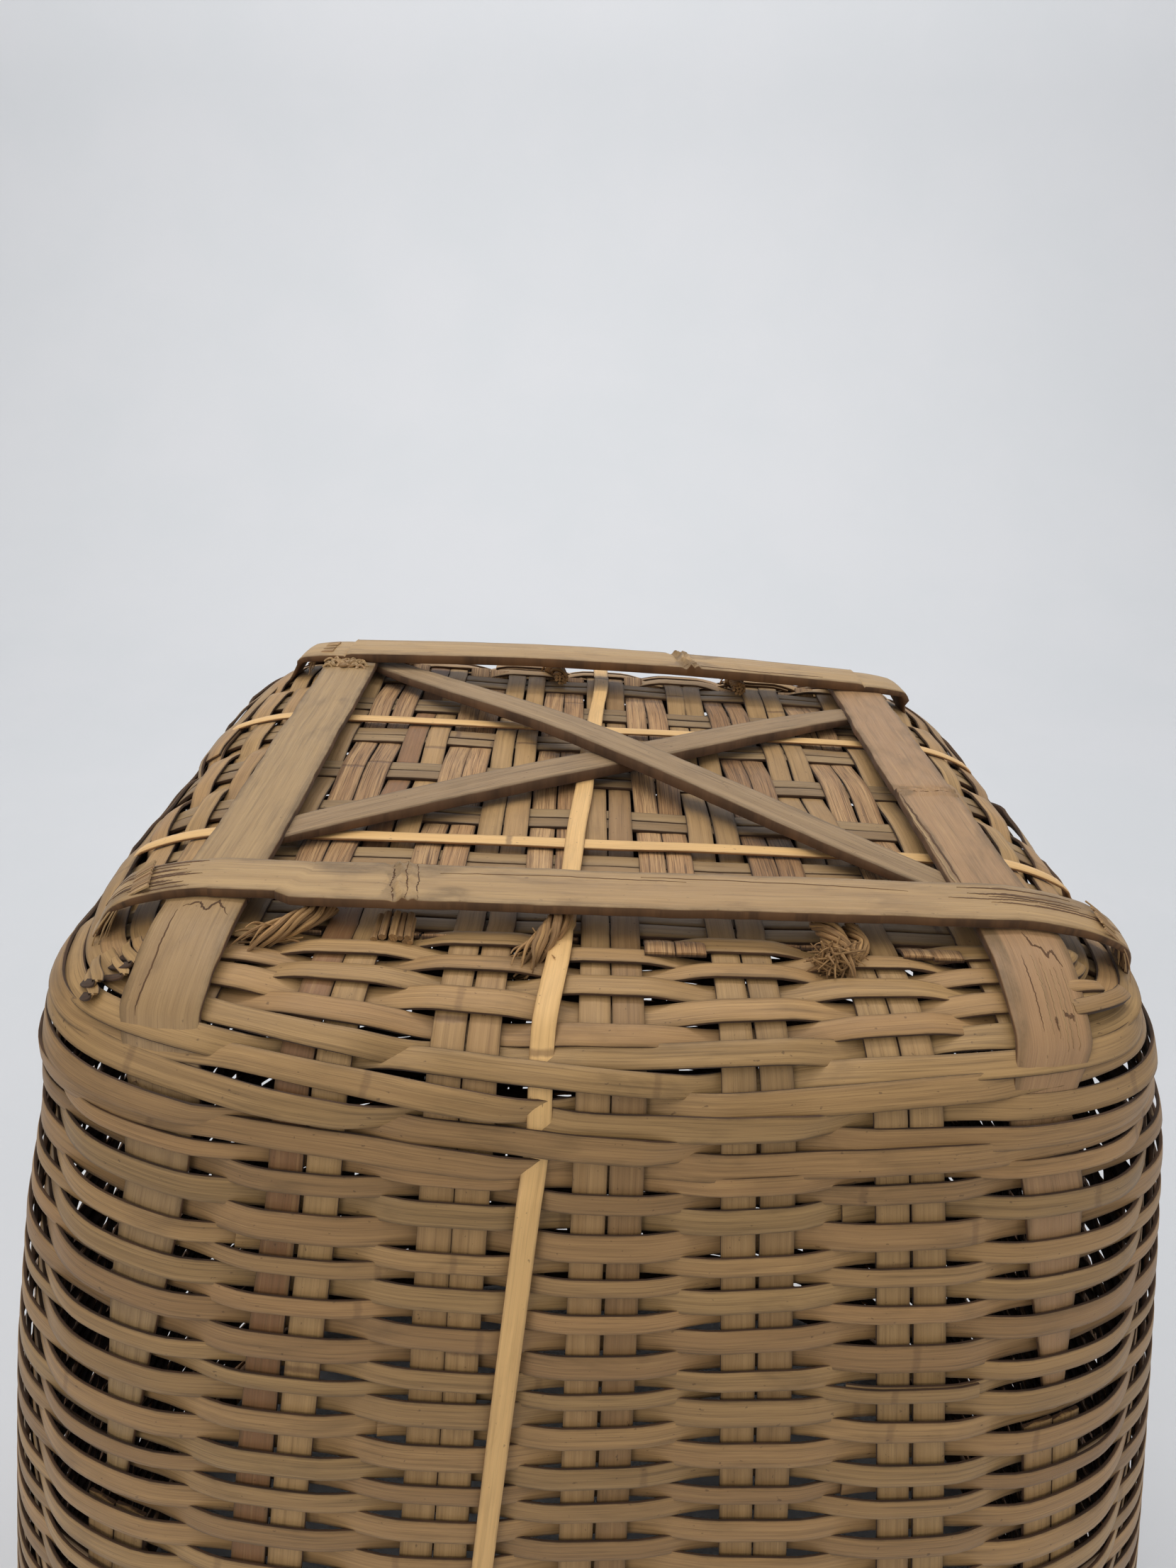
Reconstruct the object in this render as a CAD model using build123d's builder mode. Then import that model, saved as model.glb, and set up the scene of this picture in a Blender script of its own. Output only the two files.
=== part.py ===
from build123d import *
import os
from math import atan2, cos, exp, hypot, pi, sin

# A woven bamboo basket, standing upside down on its rim: the square base is on top, and the
# mouth is open downwards. +Z is up, and the origin is on the floor at the middle of the mouth.
#
# The weave surface is followed by three numbers: the angle round the basket (0 faces -Y and
# grows towards +X), the length down the wall from the edge of the flat base, and the distance
# out from the surface. A split is a flat strip of bamboo, and its solid lies between four
# smooth lines, one along each edge.

# ---- whole basket (mm) ----
WEAVE_TOP = 556.0           # middle of the flat base weave above the floor
FLAT_HALF = 128.0           # half the width of the flat part of the base
SHOULDER_OUT = 54.0         # the shoulder is a quarter ellipse: its reach outwards
SHOULDER_DOWN = 31.0        # and its drop
WALL_FLARE = 0.223          # outward lean of the wall just under the shoulder
WALL_CURL = 0.0001          # how the lean eases towards the mouth, per mm
CORNER_FLAT = 0.035         # corner roundness, 1 / superellipse exponent, of the flat base
CORNER_GROWTH = 0.0024      # its growth for each mm out along the shoulder
CORNER_MOUTH = 0.25         # and what the wall can add on the way to the mouth
CORNER_FADE = 336.0         # over about this height

# ---- stakes, the splits that run from rim to rim across the base ----
SIDE_STAKES = 7             # stake places on each of the four sides
BASE_PITCH = 40.0           # stake spacing on the base
SHOULDER_PITCH = 43.0       # and where the wall begins
STAKE_WIDTH = 10.4          # each of the two splits of a pair
LONG_WIDTH_ON_BASE = 9.4
CROSS_WIDTH_ON_BASE = 7.8   # the left-right splits are narrower on the base
SPLIT_GAP = 0.4
STAKE_THICKNESS = 1.4
STAKE_SPACING = 28.0        # between the sections that shape a stake
BASE_WAVE = 2.0             # front-back splits rise and fall this much round the others

# ---- wefts, the rounds of thin splits ----
WEFT_WIDTH = 6.0
WEFT_PITCH = 6.5
WEFT_THICKNESS = 1.1
WEFT_WAVE = 2.8             # each round passes this far outside and inside the stakes
SHOULDER_START, SHOULDER_ROUNDS = 6.0, 6
WALE_START, WALE_ROUNDS = 45.0, 6
WALL_START, WALL_NODES, ROUNDS_PER_NODE = 84.0, 15, 5
WALE_LIFTS = (2.8, 1.6)     # the first wale rounds ride over the strap ends

# ---- base straps, braces and ties ----
STRAP_WIDTH, STRAP_THICKNESS = 24.6, 3.4
TAIL_THICKNESS = 1.6
SIDE_STRAP_X = 127.0        # centre of the left and right straps
END_STRAP_Y = 121.0         # centre of the front and back straps, which lie over the others
SIDE_STRAP_RISE = 7.0       # underside above the middle of the weave
END_STRAP_RISE = 10.6
LEFT_TIPS, RIGHT_TIPS = (205.0, 150.0), (165.0, 140.0)
END_TIPS = (88.0, 88.0)
SPLICE_GAP = 4.0
BRACE_WIDTH, BRACE_TIP_WIDTH = 17.0, 12.0
BRACE_THICKNESS, BRACE_TIP = 5.0, 2.0
BRACE_RISE, UPPER_BRACE_RISE = 4.8, 10.0
LOWER_BRACE_ENDS = ((-124, -78), (122, 86))
UPPER_BRACE_ENDS = ((-119, 126), (121, -104))
TIE_WIDTH, TIE_THICKNESS = 7.0, 0.8
CROSS_TIE_YS = (-68.0, 52.0)
CROSS_TIE_RISE, LONG_TIE_RISE = 2.9, 3.8
TIE_OUT = 3.7               # on the wall, just outside the wefts
LONG_TIE_X = (-2.0, -15.0)  # where the front-back tie crosses the back and the front edge
TIE_DRIFT = -0.08           # and how far it wanders sideways for each mm down the front

# ---- small pieces ----
KNOT_XS = (-104.0, -22.0, 69.0)
KNOT_RADIUS, KNOT_LENGTH, KNOT_RISE = 3.0, 28.0, 6.9
KNOT_OUT = 127.0
BINDING_WIDTH, BINDING_PITCH = 6.0, 7.0
BINDING_LENGTHS = (20.0, 27.0, 35.0, 42.0)

# ---- rim ----
HOOP_HEIGHT, HOOP_THICKNESS, HOOP_GAP = 26.0, 3.0, 0.15
LASHING_WIDTH, LASHING_THICKNESS, LASHING_ROOM = 5.0, 1.0, 0.4
RIM_CLEARANCE = 2.2         # the stake ends stand this far above the floor

SHOULDER_STEPS = 60
WALL_SLANT = 0.98           # height lost for each mm of wall length

os.makedirs("parts", exist_ok=True)


# ---- the weave surface ----
def shoulder_lengths():
    """Lengths along the shoulder's quarter ellipse, at even steps of its parameter."""
    lengths, step = [0.0], pi / 2 / SHOULDER_STEPS
    for i in range(SHOULDER_STEPS):
        turn = (i + 0.5) * step
        piece = step * hypot(SHOULDER_OUT * cos(turn), SHOULDER_DOWN * sin(turn))
        lengths.append(lengths[-1] + piece)
    return lengths


TURN_LENGTHS = shoulder_lengths()
SHOULDER_LENGTH = TURN_LENGTHS[-1]
RIM_LENGTH = SHOULDER_LENGTH + (WEAVE_TOP - SHOULDER_DOWN - RIM_CLEARANCE) / WALL_SLANT


def shoulder_turn(length):
    """The ellipse parameter at a length along the shoulder."""
    i = max(k for k in range(SHOULDER_STEPS) if TURN_LENGTHS[k] <= length)
    share = (length - TURN_LENGTHS[i]) / (TURN_LENGTHS[i + 1] - TURN_LENGTHS[i])
    return (i + share) * pi / 2 / SHOULDER_STEPS


def section(length):
    """Half width, height and corner roundness of the weave surface at a length down it."""
    if length < SHOULDER_LENGTH:
        turn = shoulder_turn(length)
        out = SHOULDER_OUT * sin(turn)
        z = WEAVE_TOP - SHOULDER_DOWN * (1 - cos(turn))
        return FLAT_HALF + out, z, CORNER_FLAT + CORNER_GROWTH * out
    drop = (length - SHOULDER_LENGTH) * WALL_SLANT
    half = FLAT_HALF + SHOULDER_OUT + WALL_FLARE * drop - WALL_CURL * drop**2
    corner = CORNER_FLAT + CORNER_GROWTH * SHOULDER_OUT
    corner += CORNER_MOUTH * (1 - exp(-drop / CORNER_FADE))
    return half, WEAVE_TOP - SHOULDER_DOWN - drop, corner


def surface_point(angle, length, out=0.0):
    """A point on the wall, out from the weave surface by the given distance."""
    half, z, corner = section(length)
    after, before = section(length + 1), section(max(length - 1, 0))
    run, fall = after[0] - before[0], before[1] - after[1]
    step = hypot(run, fall)
    reach = half + out * fall / step
    across = abs(sin(angle)) ** (1 / corner) + abs(cos(angle)) ** (1 / corner)
    radius = reach / across**corner
    return Vector(radius * sin(angle), -radius * cos(angle), z + out * run / step)


def around(angle, length):
    """The surface's direction round the basket, and how far a radian goes along it."""
    nudge = 0.001
    span = surface_point(angle + nudge, length) - surface_point(angle - nudge, length)
    return span.normalized(), span.length / (2 * nudge)


def shoulder_angle(x, length):
    """Angle at which a line down the front at distance x from the middle crosses a level."""
    half, _, corner = section(min(length, SHOULDER_LENGTH))
    y = half * (1 - (abs(x) / half) ** (1 / corner)) ** corner
    return atan2(x, y)


def stake_angle(place, length):
    """Angle of stake place -3 to 3 of the front side, at a length down the wall."""
    down = min(length / SHOULDER_LENGTH, 1.0)
    start = shoulder_angle(place * (BASE_PITCH + (SHOULDER_PITCH - BASE_PITCH) * down), length)
    even = 2 * pi / (4 * SIDE_STAKES) * place
    return start + (even - start) * max(length - SHOULDER_LENGTH, 0) / (RIM_LENGTH - SHOULDER_LENGTH)


# ---- sections and solids ----
def split_solid(sections, closed=False):
    """A flat strip of bamboo through four-cornered sections, or a closed round of it."""
    edges = []
    for corner in range(4):
        with BuildLine(mode=Mode.PRIVATE) as line:
            Spline([corners[corner] for corners in sections], periodic=closed)
        edges.append(line.edge())
    faces = [Face.make_surface_from_curves(a, b) for a, b in zip(edges, edges[1:] + edges[:1])]
    if not closed:
        for corners in (sections[0], sections[-1]):
            faces.append(Face(Wire.make_polygon(corners, close=True)))
    return Solid(Shell(faces))


def wall_section(angle, length, width, inner, outer):
    """Section of an upright strip, between two distances out from the weave surface."""
    side = around(angle, length)[0] * (width / 2)
    low, high = surface_point(angle, length, inner), surface_point(angle, length, outer)
    return [low - side, low + side, high + side, high - side]


def flat_section(x, y, width, low, high):
    """Section of a front-back strip on the base, at heights above the middle of the weave."""
    left, right = x - width / 2, x + width / 2
    spots = ((left, low), (right, low), (right, high), (left, high))
    return [Vector(across, y, WEAVE_TOP + rise) for across, rise in spots]


def behind(sections):
    """The same sections at the back of the basket."""
    return [[Vector(p.X, -p.Y, p.Z) for p in corners] for corners in sections]


def evenly(start, end, spacing):
    """Evenly spread values from start to end."""
    count = max(2, round((end - start) / spacing))
    return [start + (end - start) * i / count for i in range(count + 1)]


def crosswise(solids):
    """Solids that run front to back, turned to run left to right."""
    return [solid.rotate(Axis.Z, 90) for solid in solids]


# ---- stakes ----
def pair_offset(which, width):
    """Sideways place of one split of a pair."""
    return (which - 0.5) * (width + SPLIT_GAP)


def stake_wall(place, which, base_width, start, end):
    """Sections of one split of a stake, down the front wall."""
    sections, half = [], STAKE_THICKNESS / 2
    for length in evenly(start, end, STAKE_SPACING):
        width = base_width + (STAKE_WIDTH - base_width) * min(length / SHOULDER_LENGTH, 1.0)
        angle = stake_angle(place, length)
        angle += pair_offset(which, width) / around(angle, length)[1]
        sections.append(wall_section(angle, length, width, -half, half))
    return sections


def stake_flat(x, width, wave, reach):
    """Sections of a split across the flat base, rising and falling round the others."""
    sections, half = [], STAKE_THICKNESS / 2
    rows = [row * BASE_PITCH / 2 for row in range(-SIDE_STAKES + 1, SIDE_STAKES)]
    for y in [-reach, *rows, reach]:
        rise = wave * cos(pi * y / BASE_PITCH)
        sections.append(flat_section(x, y, width, rise - half, rise + half))
    return sections


def stake_split(place, which, base_width, wave, end):
    """One split of a stake: up the front wall, over the base and down the back wall."""
    x = place * BASE_PITCH + pair_offset(which, base_width)
    wall = stake_wall(place, which, base_width, 10.0, end)
    flat = stake_flat(x, base_width, wave, FLAT_HALF)
    return split_solid(wall[::-1] + flat + behind(wall))


def stake(place, base_width, wave, splices=None):
    """A pair of splits from rim to rim. The outermost pairs stop where a strap's ends take
    their place among the wefts, and are spliced on again below them."""
    end = WALE_START + SPLICE_GAP if splices else RIM_LENGTH
    solids = [stake_split(place, which, base_width, wave, end) for which in (0, 1)]
    if splices:
        for which in (0, 1):
            front, back = (
                stake_wall(place, which, base_width, tip + SPLICE_GAP, RIM_LENGTH) for tip in splices
            )
            solids += [split_solid(front), split_solid(behind(back))]
    return solids


def filler(x):
    """A pair of splits that only thickens the base, cut off at its front and back edges."""
    solids = []
    for which in (0, 1):
        middle = x + pair_offset(which, LONG_WIDTH_ON_BASE)
        solids.append(split_solid(stake_flat(middle, LONG_WIDTH_ON_BASE, BASE_WAVE, FLAT_HALF + 2)))
    return solids


# ---- wefts ----
def round_stations(length):
    """Places round one round, as (stake number, angle): each stake, and the gap after it."""
    stations = []
    for side in range(4):
        for place in range(-3, 4):
            number = side * SIDE_STAKES + place + 3
            here = stake_angle(place, length)
            if place < 3:
                after, gaps = stake_angle(place + 1, length), (0, 0.5)
            else:
                after, gaps = stake_angle(-3, length) + pi / 2, (0, 0.25, 0.5, 0.75)
            for gap in gaps:
                stations.append((number + gap, here + (after - here) * gap + side * pi / 2))
    return stations


def closed_round(length, height, thickness, out_at):
    """A closed round at a length down the wall, at a distance out for each stake number."""
    sections = []
    for number, angle in round_stations(length):
        out = out_at(number)
        inner, outer = out - thickness / 2, out + thickness / 2
        upper, lower = length - height / 2, length + height / 2
        spots = ((upper, inner), (lower, inner), (lower, outer), (upper, outer))
        sections.append([surface_point(angle, spot, distance) for spot, distance in spots])
    return split_solid(sections, closed=True)


def eased(number, out_at_stake):
    """A distance that changes smoothly from one stake to the next."""
    before, after = out_at_stake(int(number)), out_at_stake(int(number) + 1)
    return before + (after - before) * (1 - cos(pi * (number % 1))) / 2


def plain_round(length, row):
    """A weft that passes outside one stake and inside the next."""
    def out_at(number):
        return eased(number, lambda stake_number: WEFT_WAVE * (-1) ** (stake_number + row))

    return closed_round(length, WEFT_WIDTH, WEFT_THICKNESS, out_at)


def wale_round(length, row):
    """A weft that passes outside two stakes and inside a third, and outside every strap end."""
    lift = WALE_LIFTS[row] if row < len(WALE_LIFTS) else 0.0

    def at_corner(number):
        return (number + 1) % SIDE_STAKES <= 1

    def out_at_stake(number):
        inside = (number + row) % 3 == 0 and not at_corner(number)
        return -WEFT_WAVE if inside else WEFT_WAVE + lift * at_corner(number)

    return closed_round(length, WEFT_WIDTH, WEFT_THICKNESS, lambda number: eased(number, out_at_stake))


def rounds(start, count, make_round, first_row=0):
    """Rounds one below the other."""
    return [make_round(start + WEFT_PITCH * i, first_row + i) for i in range(count)]


# ---- straps, ties and braces ----
def strap_end(x, rise, tip):
    """Sections of a strap's end: over the shoulder, then in among the wefts to a narrow tip."""
    lift = rise - SIDE_STRAP_RISE
    path = (
        (14.0, 5.9 + lift * 1.2, 3.0, 1.0),
        (24.0, 4.9 + lift * 0.5, 2.4, 0.98),
        (34.0, 4.0, TAIL_THICKNESS, 0.96),
        (42.0, 3.6, TAIL_THICKNESS, 0.94),
        (51.0, 1.6, TAIL_THICKNESS, 0.92),
        (62.0, -TAIL_THICKNESS / 2, TAIL_THICKNESS, 0.9),
        ((62.0 + tip) / 2, -TAIL_THICKNESS / 2, TAIL_THICKNESS, 0.7),
        (tip, -TAIL_THICKNESS / 2, TAIL_THICKNESS, 0.25),
    )
    sections = []
    for length, inner, thickness, share in path:
        if length < SHOULDER_LENGTH:
            angle = shoulder_angle(x, length)
        else:
            angle = stake_angle(3, length) if x > 0 else stake_angle(-3, length)
        sections.append(wall_section(angle, length, STRAP_WIDTH * share, inner, inner + thickness))
    return sections


def strap(x, rise, tips):
    """A strap that runs front to back across the base, with both its ends."""
    front, back = (strap_end(x, rise, tip) for tip in tips)
    ys = evenly(-FLAT_HALF, FLAT_HALF, 32)
    flat = [flat_section(x, y, STRAP_WIDTH, rise, rise + STRAP_THICKNESS) for y in ys]
    return [split_solid(front[::-1] + flat + behind(back))]


def tie_end(x, drift):
    """Sections of a tie down the front wall, to just short of the rim."""
    sections = []
    for length in evenly(10.0, RIM_LENGTH - HOOP_HEIGHT - 4, STAKE_SPACING):
        below = max(length - SHOULDER_LENGTH, 0)
        angle = shoulder_angle(x, length) + drift * below / around(0, length)[1]
        out = TIE_OUT + 0.4 * (1 - min(length / SHOULDER_LENGTH, 1))
        sections.append(wall_section(angle, length, TIE_WIDTH, out, out + TIE_THICKNESS))
    return sections


def tie(back_x, front_x, rise, drift):
    """A thin tie over the base from rim to rim, front to back."""
    flat = []
    for y in evenly(-FLAT_HALF, FLAT_HALF, 32):
        x = (front_x + back_x) / 2 + (back_x - front_x) / 2 * y / FLAT_HALF
        flat.append(flat_section(x, y, TIE_WIDTH, rise, rise + TIE_THICKNESS))
    front, back = tie_end(front_x, drift), tie_end(back_x, 0)
    return [split_solid(front[::-1] + flat + behind(back))]


def brace(ends, middle_rise):
    """A diagonal brace, thin where its ends tuck under the straps, raised in the middle."""
    start, end = (Vector(*spot) for spot in ends)
    side = (end - start).normalized().rotate(Axis.Z, 90)
    sections, count = [], 8
    for i in range(count + 1):
        body = sin(pi * i / count) ** 0.5 if 0 < i < count else 0.0
        arch = (1 - cos(2 * pi * i / count)) / 2
        middle = start + (end - start) * (i / count)
        low = WEAVE_TOP + BRACE_RISE + (middle_rise - BRACE_RISE) * arch
        high = low + BRACE_TIP + (BRACE_THICKNESS - BRACE_TIP) * body
        half = side * ((BRACE_TIP_WIDTH + (BRACE_WIDTH - BRACE_TIP_WIDTH) * body) / 2)
        spots = ((-half, low), (half, low), (half, high), (-half, high))
        sections.append([middle + across + Vector(0, 0, z) for across, z in spots])
    return [split_solid(sections)]


def corner_binding(quarter):
    """Three short splits bound side by side over one corner of the shoulder."""
    solids = []
    for i in (-1, 0, 1):
        sections = []
        for length in BINDING_LENGTHS:
            angle = pi / 4 + i * BINDING_PITCH / around(pi / 4, length)[1]
            inner = WEFT_WAVE + WEFT_THICKNESS
            sections.append(wall_section(angle, length, BINDING_WIDTH, inner, inner + WEFT_THICKNESS))
        solids.append(split_solid(sections).rotate(Axis.Z, 90 * quarter))
    return solids


# ---- rim ----
def hoop(inner):
    """A closed hoop on one side of the stake ends, from its inner face outwards."""
    middle = inner + HOOP_THICKNESS / 2
    return [closed_round(RIM_LENGTH - HOOP_HEIGHT / 2, HOOP_HEIGHT, HOOP_THICKNESS, lambda number: middle)]


def lashing_outline(angle, room):
    """Corners of a loop's outline round both hoops, as (distance from the axis, height)."""
    reach = STAKE_THICKNESS / 2 + HOOP_GAP + HOOP_THICKNESS + LASHING_ROOM + room
    foot, head = surface_point(angle, RIM_LENGTH), surface_point(angle, RIM_LENGTH - HOOP_HEIGHT)
    near, far = hypot(foot.X, foot.Y), hypot(head.X, head.Y)
    low, high = LASHING_THICKNESS - room, head.Z + LASHING_ROOM + room
    return [(near - reach, low), (near + reach, low), (far + reach, high), (far - reach, high)]


def export(name, node):
    """Label a finished node and write it."""
    node.part.label = name
    export_step(node.part, f"parts/{name}.step")


def export_splits(name, solids):
    """Write a node that holds one or more separate splits."""
    with BuildPart() as node:
        add(solids)
    export(name, node)


# ---- the pieces ----
side_tips = {-3: LEFT_TIPS, 3: RIGHT_TIPS}
for place in range(-3, 4):
    export_splits(
        f"long_stake_{place + 4}", stake(place, LONG_WIDTH_ON_BASE, -BASE_WAVE, side_tips.get(place))
    )
    end_tips = END_TIPS if abs(place) == 3 else None
    export_splits(f"cross_stake_{place + 4}", crosswise(stake(place, CROSS_WIDTH_ON_BASE, 0, end_tips)))

for i in range(SIDE_STAKES - 1):
    export_splits(f"base_filler_{i + 1}", filler((i - 2.5) * BASE_PITCH))

export_splits("shoulder_wefts", rounds(SHOULDER_START, SHOULDER_ROUNDS, plain_round))
export_splits("wale_band", rounds(WALE_START, WALE_ROUNDS, wale_round))
for i in range(WALL_NODES):
    start = WALL_START + i * ROUNDS_PER_NODE * WEFT_PITCH
    first_row = i * ROUNDS_PER_NODE
    export_splits(f"wall_wefts_{i + 1:02d}", rounds(start, ROUNDS_PER_NODE, plain_round, first_row))

export_splits("left_strap", strap(-SIDE_STRAP_X, SIDE_STRAP_RISE, LEFT_TIPS))
export_splits("right_strap", strap(SIDE_STRAP_X, SIDE_STRAP_RISE, RIGHT_TIPS))
export_splits("front_strap", crosswise(strap(-END_STRAP_Y, END_STRAP_RISE, END_TIPS)))
export_splits("back_strap", crosswise(strap(END_STRAP_Y, END_STRAP_RISE, END_TIPS)))
export_splits("lower_brace", brace(LOWER_BRACE_ENDS, BRACE_RISE))
export_splits("upper_brace", brace(UPPER_BRACE_ENDS, UPPER_BRACE_RISE))
export_splits("long_tie", tie(*LONG_TIE_X, LONG_TIE_RISE, TIE_DRIFT))
for name, y in zip(("front_cross_tie", "back_cross_tie"), CROSS_TIE_YS):
    export_splits(name, crosswise(tie(y, y, CROSS_TIE_RISE, 0)))

corner_names = ("front_right", "back_right", "back_left", "front_left")
for quarter, corner_name in enumerate(corner_names):
    export_splits(f"{corner_name}_corner_binding", corner_binding(quarter))

for name, side in (("front_fibre_knots", -1), ("back_fibre_knots", 1)):
    with BuildPart() as fibre_knots:
        spots = [(x, side * KNOT_OUT, WEAVE_TOP + KNOT_RISE) for x in KNOT_XS]
        with Locations(*spots):
            Cylinder(KNOT_RADIUS, KNOT_LENGTH, rotation=(90, 0, 0))
        fillet(fibre_knots.edges().filter_by(GeomType.CIRCLE), KNOT_RADIUS / 3)
    export(name, fibre_knots)

stake_face = STAKE_THICKNESS / 2 + HOOP_GAP
export_splits("outer_rim_hoop", hoop(stake_face))
export_splits("inner_rim_hoop", hoop(-stake_face - HOOP_THICKNESS))

with BuildPart() as rim_lashing:
    for number, angle in round_stations(RIM_LENGTH):
        if number % 1 != 0.5:
            continue
        plane = Plane((0, 0, 0), x_dir=(sin(angle), -cos(angle), 0), z_dir=(-cos(angle), -sin(angle), 0))
        with BuildSketch(plane):
            with BuildLine():
                Polyline(lashing_outline(angle, LASHING_THICKNESS), close=True)
            make_face()
            with BuildLine():
                Polyline(lashing_outline(angle, 0), close=True)
            make_face(mode=Mode.SUBTRACT)
        extrude(amount=LASHING_WIDTH / 2, both=True)
export("rim_lashing", rim_lashing)
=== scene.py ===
"""A woven bamboo basket standing upside down on its rim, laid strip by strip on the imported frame."""

from math import cos, pi, radians, sin

import bpy
import numpy as np
from mathutils import Matrix, Vector


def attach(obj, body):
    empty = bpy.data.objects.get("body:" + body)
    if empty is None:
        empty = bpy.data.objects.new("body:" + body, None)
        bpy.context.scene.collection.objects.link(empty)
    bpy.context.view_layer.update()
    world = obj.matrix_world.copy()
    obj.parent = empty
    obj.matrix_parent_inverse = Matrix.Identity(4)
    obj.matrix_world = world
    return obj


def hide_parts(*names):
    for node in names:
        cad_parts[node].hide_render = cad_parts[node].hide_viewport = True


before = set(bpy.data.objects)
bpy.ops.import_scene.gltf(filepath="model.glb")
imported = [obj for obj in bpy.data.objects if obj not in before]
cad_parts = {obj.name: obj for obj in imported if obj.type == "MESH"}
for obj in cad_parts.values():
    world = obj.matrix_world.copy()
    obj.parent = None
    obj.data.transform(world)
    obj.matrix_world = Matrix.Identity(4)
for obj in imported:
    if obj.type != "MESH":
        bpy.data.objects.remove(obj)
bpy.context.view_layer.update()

# ---- the weave surface: the same measures as the CAD source, in mm ----
WEAVE_TOP, FLAT_HALF = 556.0, 128.0
SHOULDER_OUT, SHOULDER_DOWN = 54.0, 31.0
WALL_FLARE, WALL_CURL, WALL_SLANT = 0.223, 0.0001, 0.98
CORNER_FLAT, CORNER_GROWTH, CORNER_MOUTH, CORNER_FADE = 0.035, 0.0024, 0.25, 336.0
SIDE_STAKES, BASE_PITCH, SHOULDER_PITCH = 7, 40.0, 43.0
STAKES = 4 * SIDE_STAKES
STAKE_WIDTH, LONG_WIDTH_ON_BASE, CROSS_WIDTH_ON_BASE = 10.4, 9.4, 7.8
SPLIT_GAP, STAKE_THICKNESS = 0.4, 1.4
WEFT_PITCH, WEFT_THICKNESS = 6.5, 1.1
SHOULDER_START, SHOULDER_ROUNDS = 6.0, 6
WALE_START, WALE_ROUNDS = 45.0, 6
WALL_START, WALL_NODES, ROUNDS_PER_NODE = 84.0, 15, 5
STRAP_WIDTH, STRAP_THICKNESS = 24.6, 3.4
SIDE_STRAP_X, END_STRAP_Y = 127.0, 121.0
SIDE_STRAP_RISE, END_STRAP_RISE = 7.0, 10.6
LEFT_TIPS, RIGHT_TIPS, END_TIPS = (205.0, 150.0), (165.0, 140.0), (88.0, 88.0)
LOWER_BRACE_ENDS = ((-124, -78), (122, 86))
UPPER_BRACE_ENDS = ((-119, 126), (121, -104))
CROSS_TIE_YS, LONG_TIE_X, TIE_DRIFT = (-68.0, 52.0), (-2.0, -15.0), -0.08
RIM_CLEARANCE, HOOP_HEIGHT, HOOP_THICKNESS = 2.2, 26.0, 3.0
MM = 0.001
LEAN = 0.0197                # the old basket leans a little to +X as it rises
SHARP_BEND = radians(50)     # faces that meet more sharply than this keep a hard edge

TURNS = np.linspace(0, pi / 2, 241)
MIDDLES = (TURNS[1:] + TURNS[:-1]) / 2
STEPS = np.hypot(SHOULDER_OUT * np.cos(MIDDLES), SHOULDER_DOWN * np.sin(MIDDLES)) * TURNS[1]
TURN_LENGTHS = np.concatenate([[0.0], np.cumsum(STEPS)])
SHOULDER_LENGTH = float(TURN_LENGTHS[-1])
RIM_LENGTH = SHOULDER_LENGTH + (WEAVE_TOP - SHOULDER_DOWN - RIM_CLEARANCE) / WALL_SLANT


def section(length):
    """Half width, height and corner roundness of the weave surface at lengths down it."""
    turn = np.interp(length, TURN_LENGTHS, TURNS)
    out = SHOULDER_OUT * np.sin(turn)
    drop = np.maximum(length - SHOULDER_LENGTH, 0) * WALL_SLANT
    half = FLAT_HALF + out + WALL_FLARE * drop - WALL_CURL * drop**2
    z = WEAVE_TOP - SHOULDER_DOWN * (1 - np.cos(turn)) - drop
    corner = CORNER_FLAT + CORNER_GROWTH * out + CORNER_MOUTH * (1 - np.exp(-drop / CORNER_FADE))
    return half, z, corner


def surface(angle, length, out=0.0):
    """Points at angles round the wall, lengths down it and distances out from it."""
    angle, length, out = (np.asarray(v, float) for v in np.broadcast_arrays(angle, length, out))
    half, z, corner = section(length)
    after, before = section(length + 1), section(np.maximum(length - 1, 0))
    run, fall = after[0] - before[0], before[1] - after[1]
    step = np.hypot(run, fall)
    across = np.abs(np.sin(angle)) ** (1 / corner) + np.abs(np.cos(angle)) ** (1 / corner)
    radius = (half + out * fall / step) / across**corner
    spots = (radius * np.sin(angle), -radius * np.cos(angle), z + out * run / step)
    return np.stack(spots, -1)


def unit(v):
    return v / np.maximum(np.linalg.norm(v, axis=-1, keepdims=True), 1e-12)


def around(angle, length):
    """Direction round the basket, and the distance of one radian along it."""
    span = surface(angle + 0.001, length) - surface(angle - 0.001, length)
    return unit(span), np.linalg.norm(span, axis=-1) / 0.002


def down_wall(angle, length, out):
    """Direction straight down the wall."""
    return unit(surface(angle, length + 1.0, out) - surface(angle, length - 1.0, out))


def shoulder_angle(x, length):
    half, _, corner = section(np.minimum(length, SHOULDER_LENGTH))
    y = half * np.maximum(1 - (np.abs(x) / half) ** (1 / corner), 1e-9) ** corner
    return np.arctan2(x, y)


def stake_angle(place, length):
    """Angle of stake place -3 to 3 of the front side, at lengths down the wall."""
    down = np.minimum(length / SHOULDER_LENGTH, 1.0)
    start = shoulder_angle(place * (BASE_PITCH + (SHOULDER_PITCH - BASE_PITCH) * down), length)
    even = 2 * pi / STAKES * place
    share = np.maximum(length - SHOULDER_LENGTH, 0) / (RIM_LENGTH - SHOULDER_LENGTH)
    return start + (even - start) * share


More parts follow.
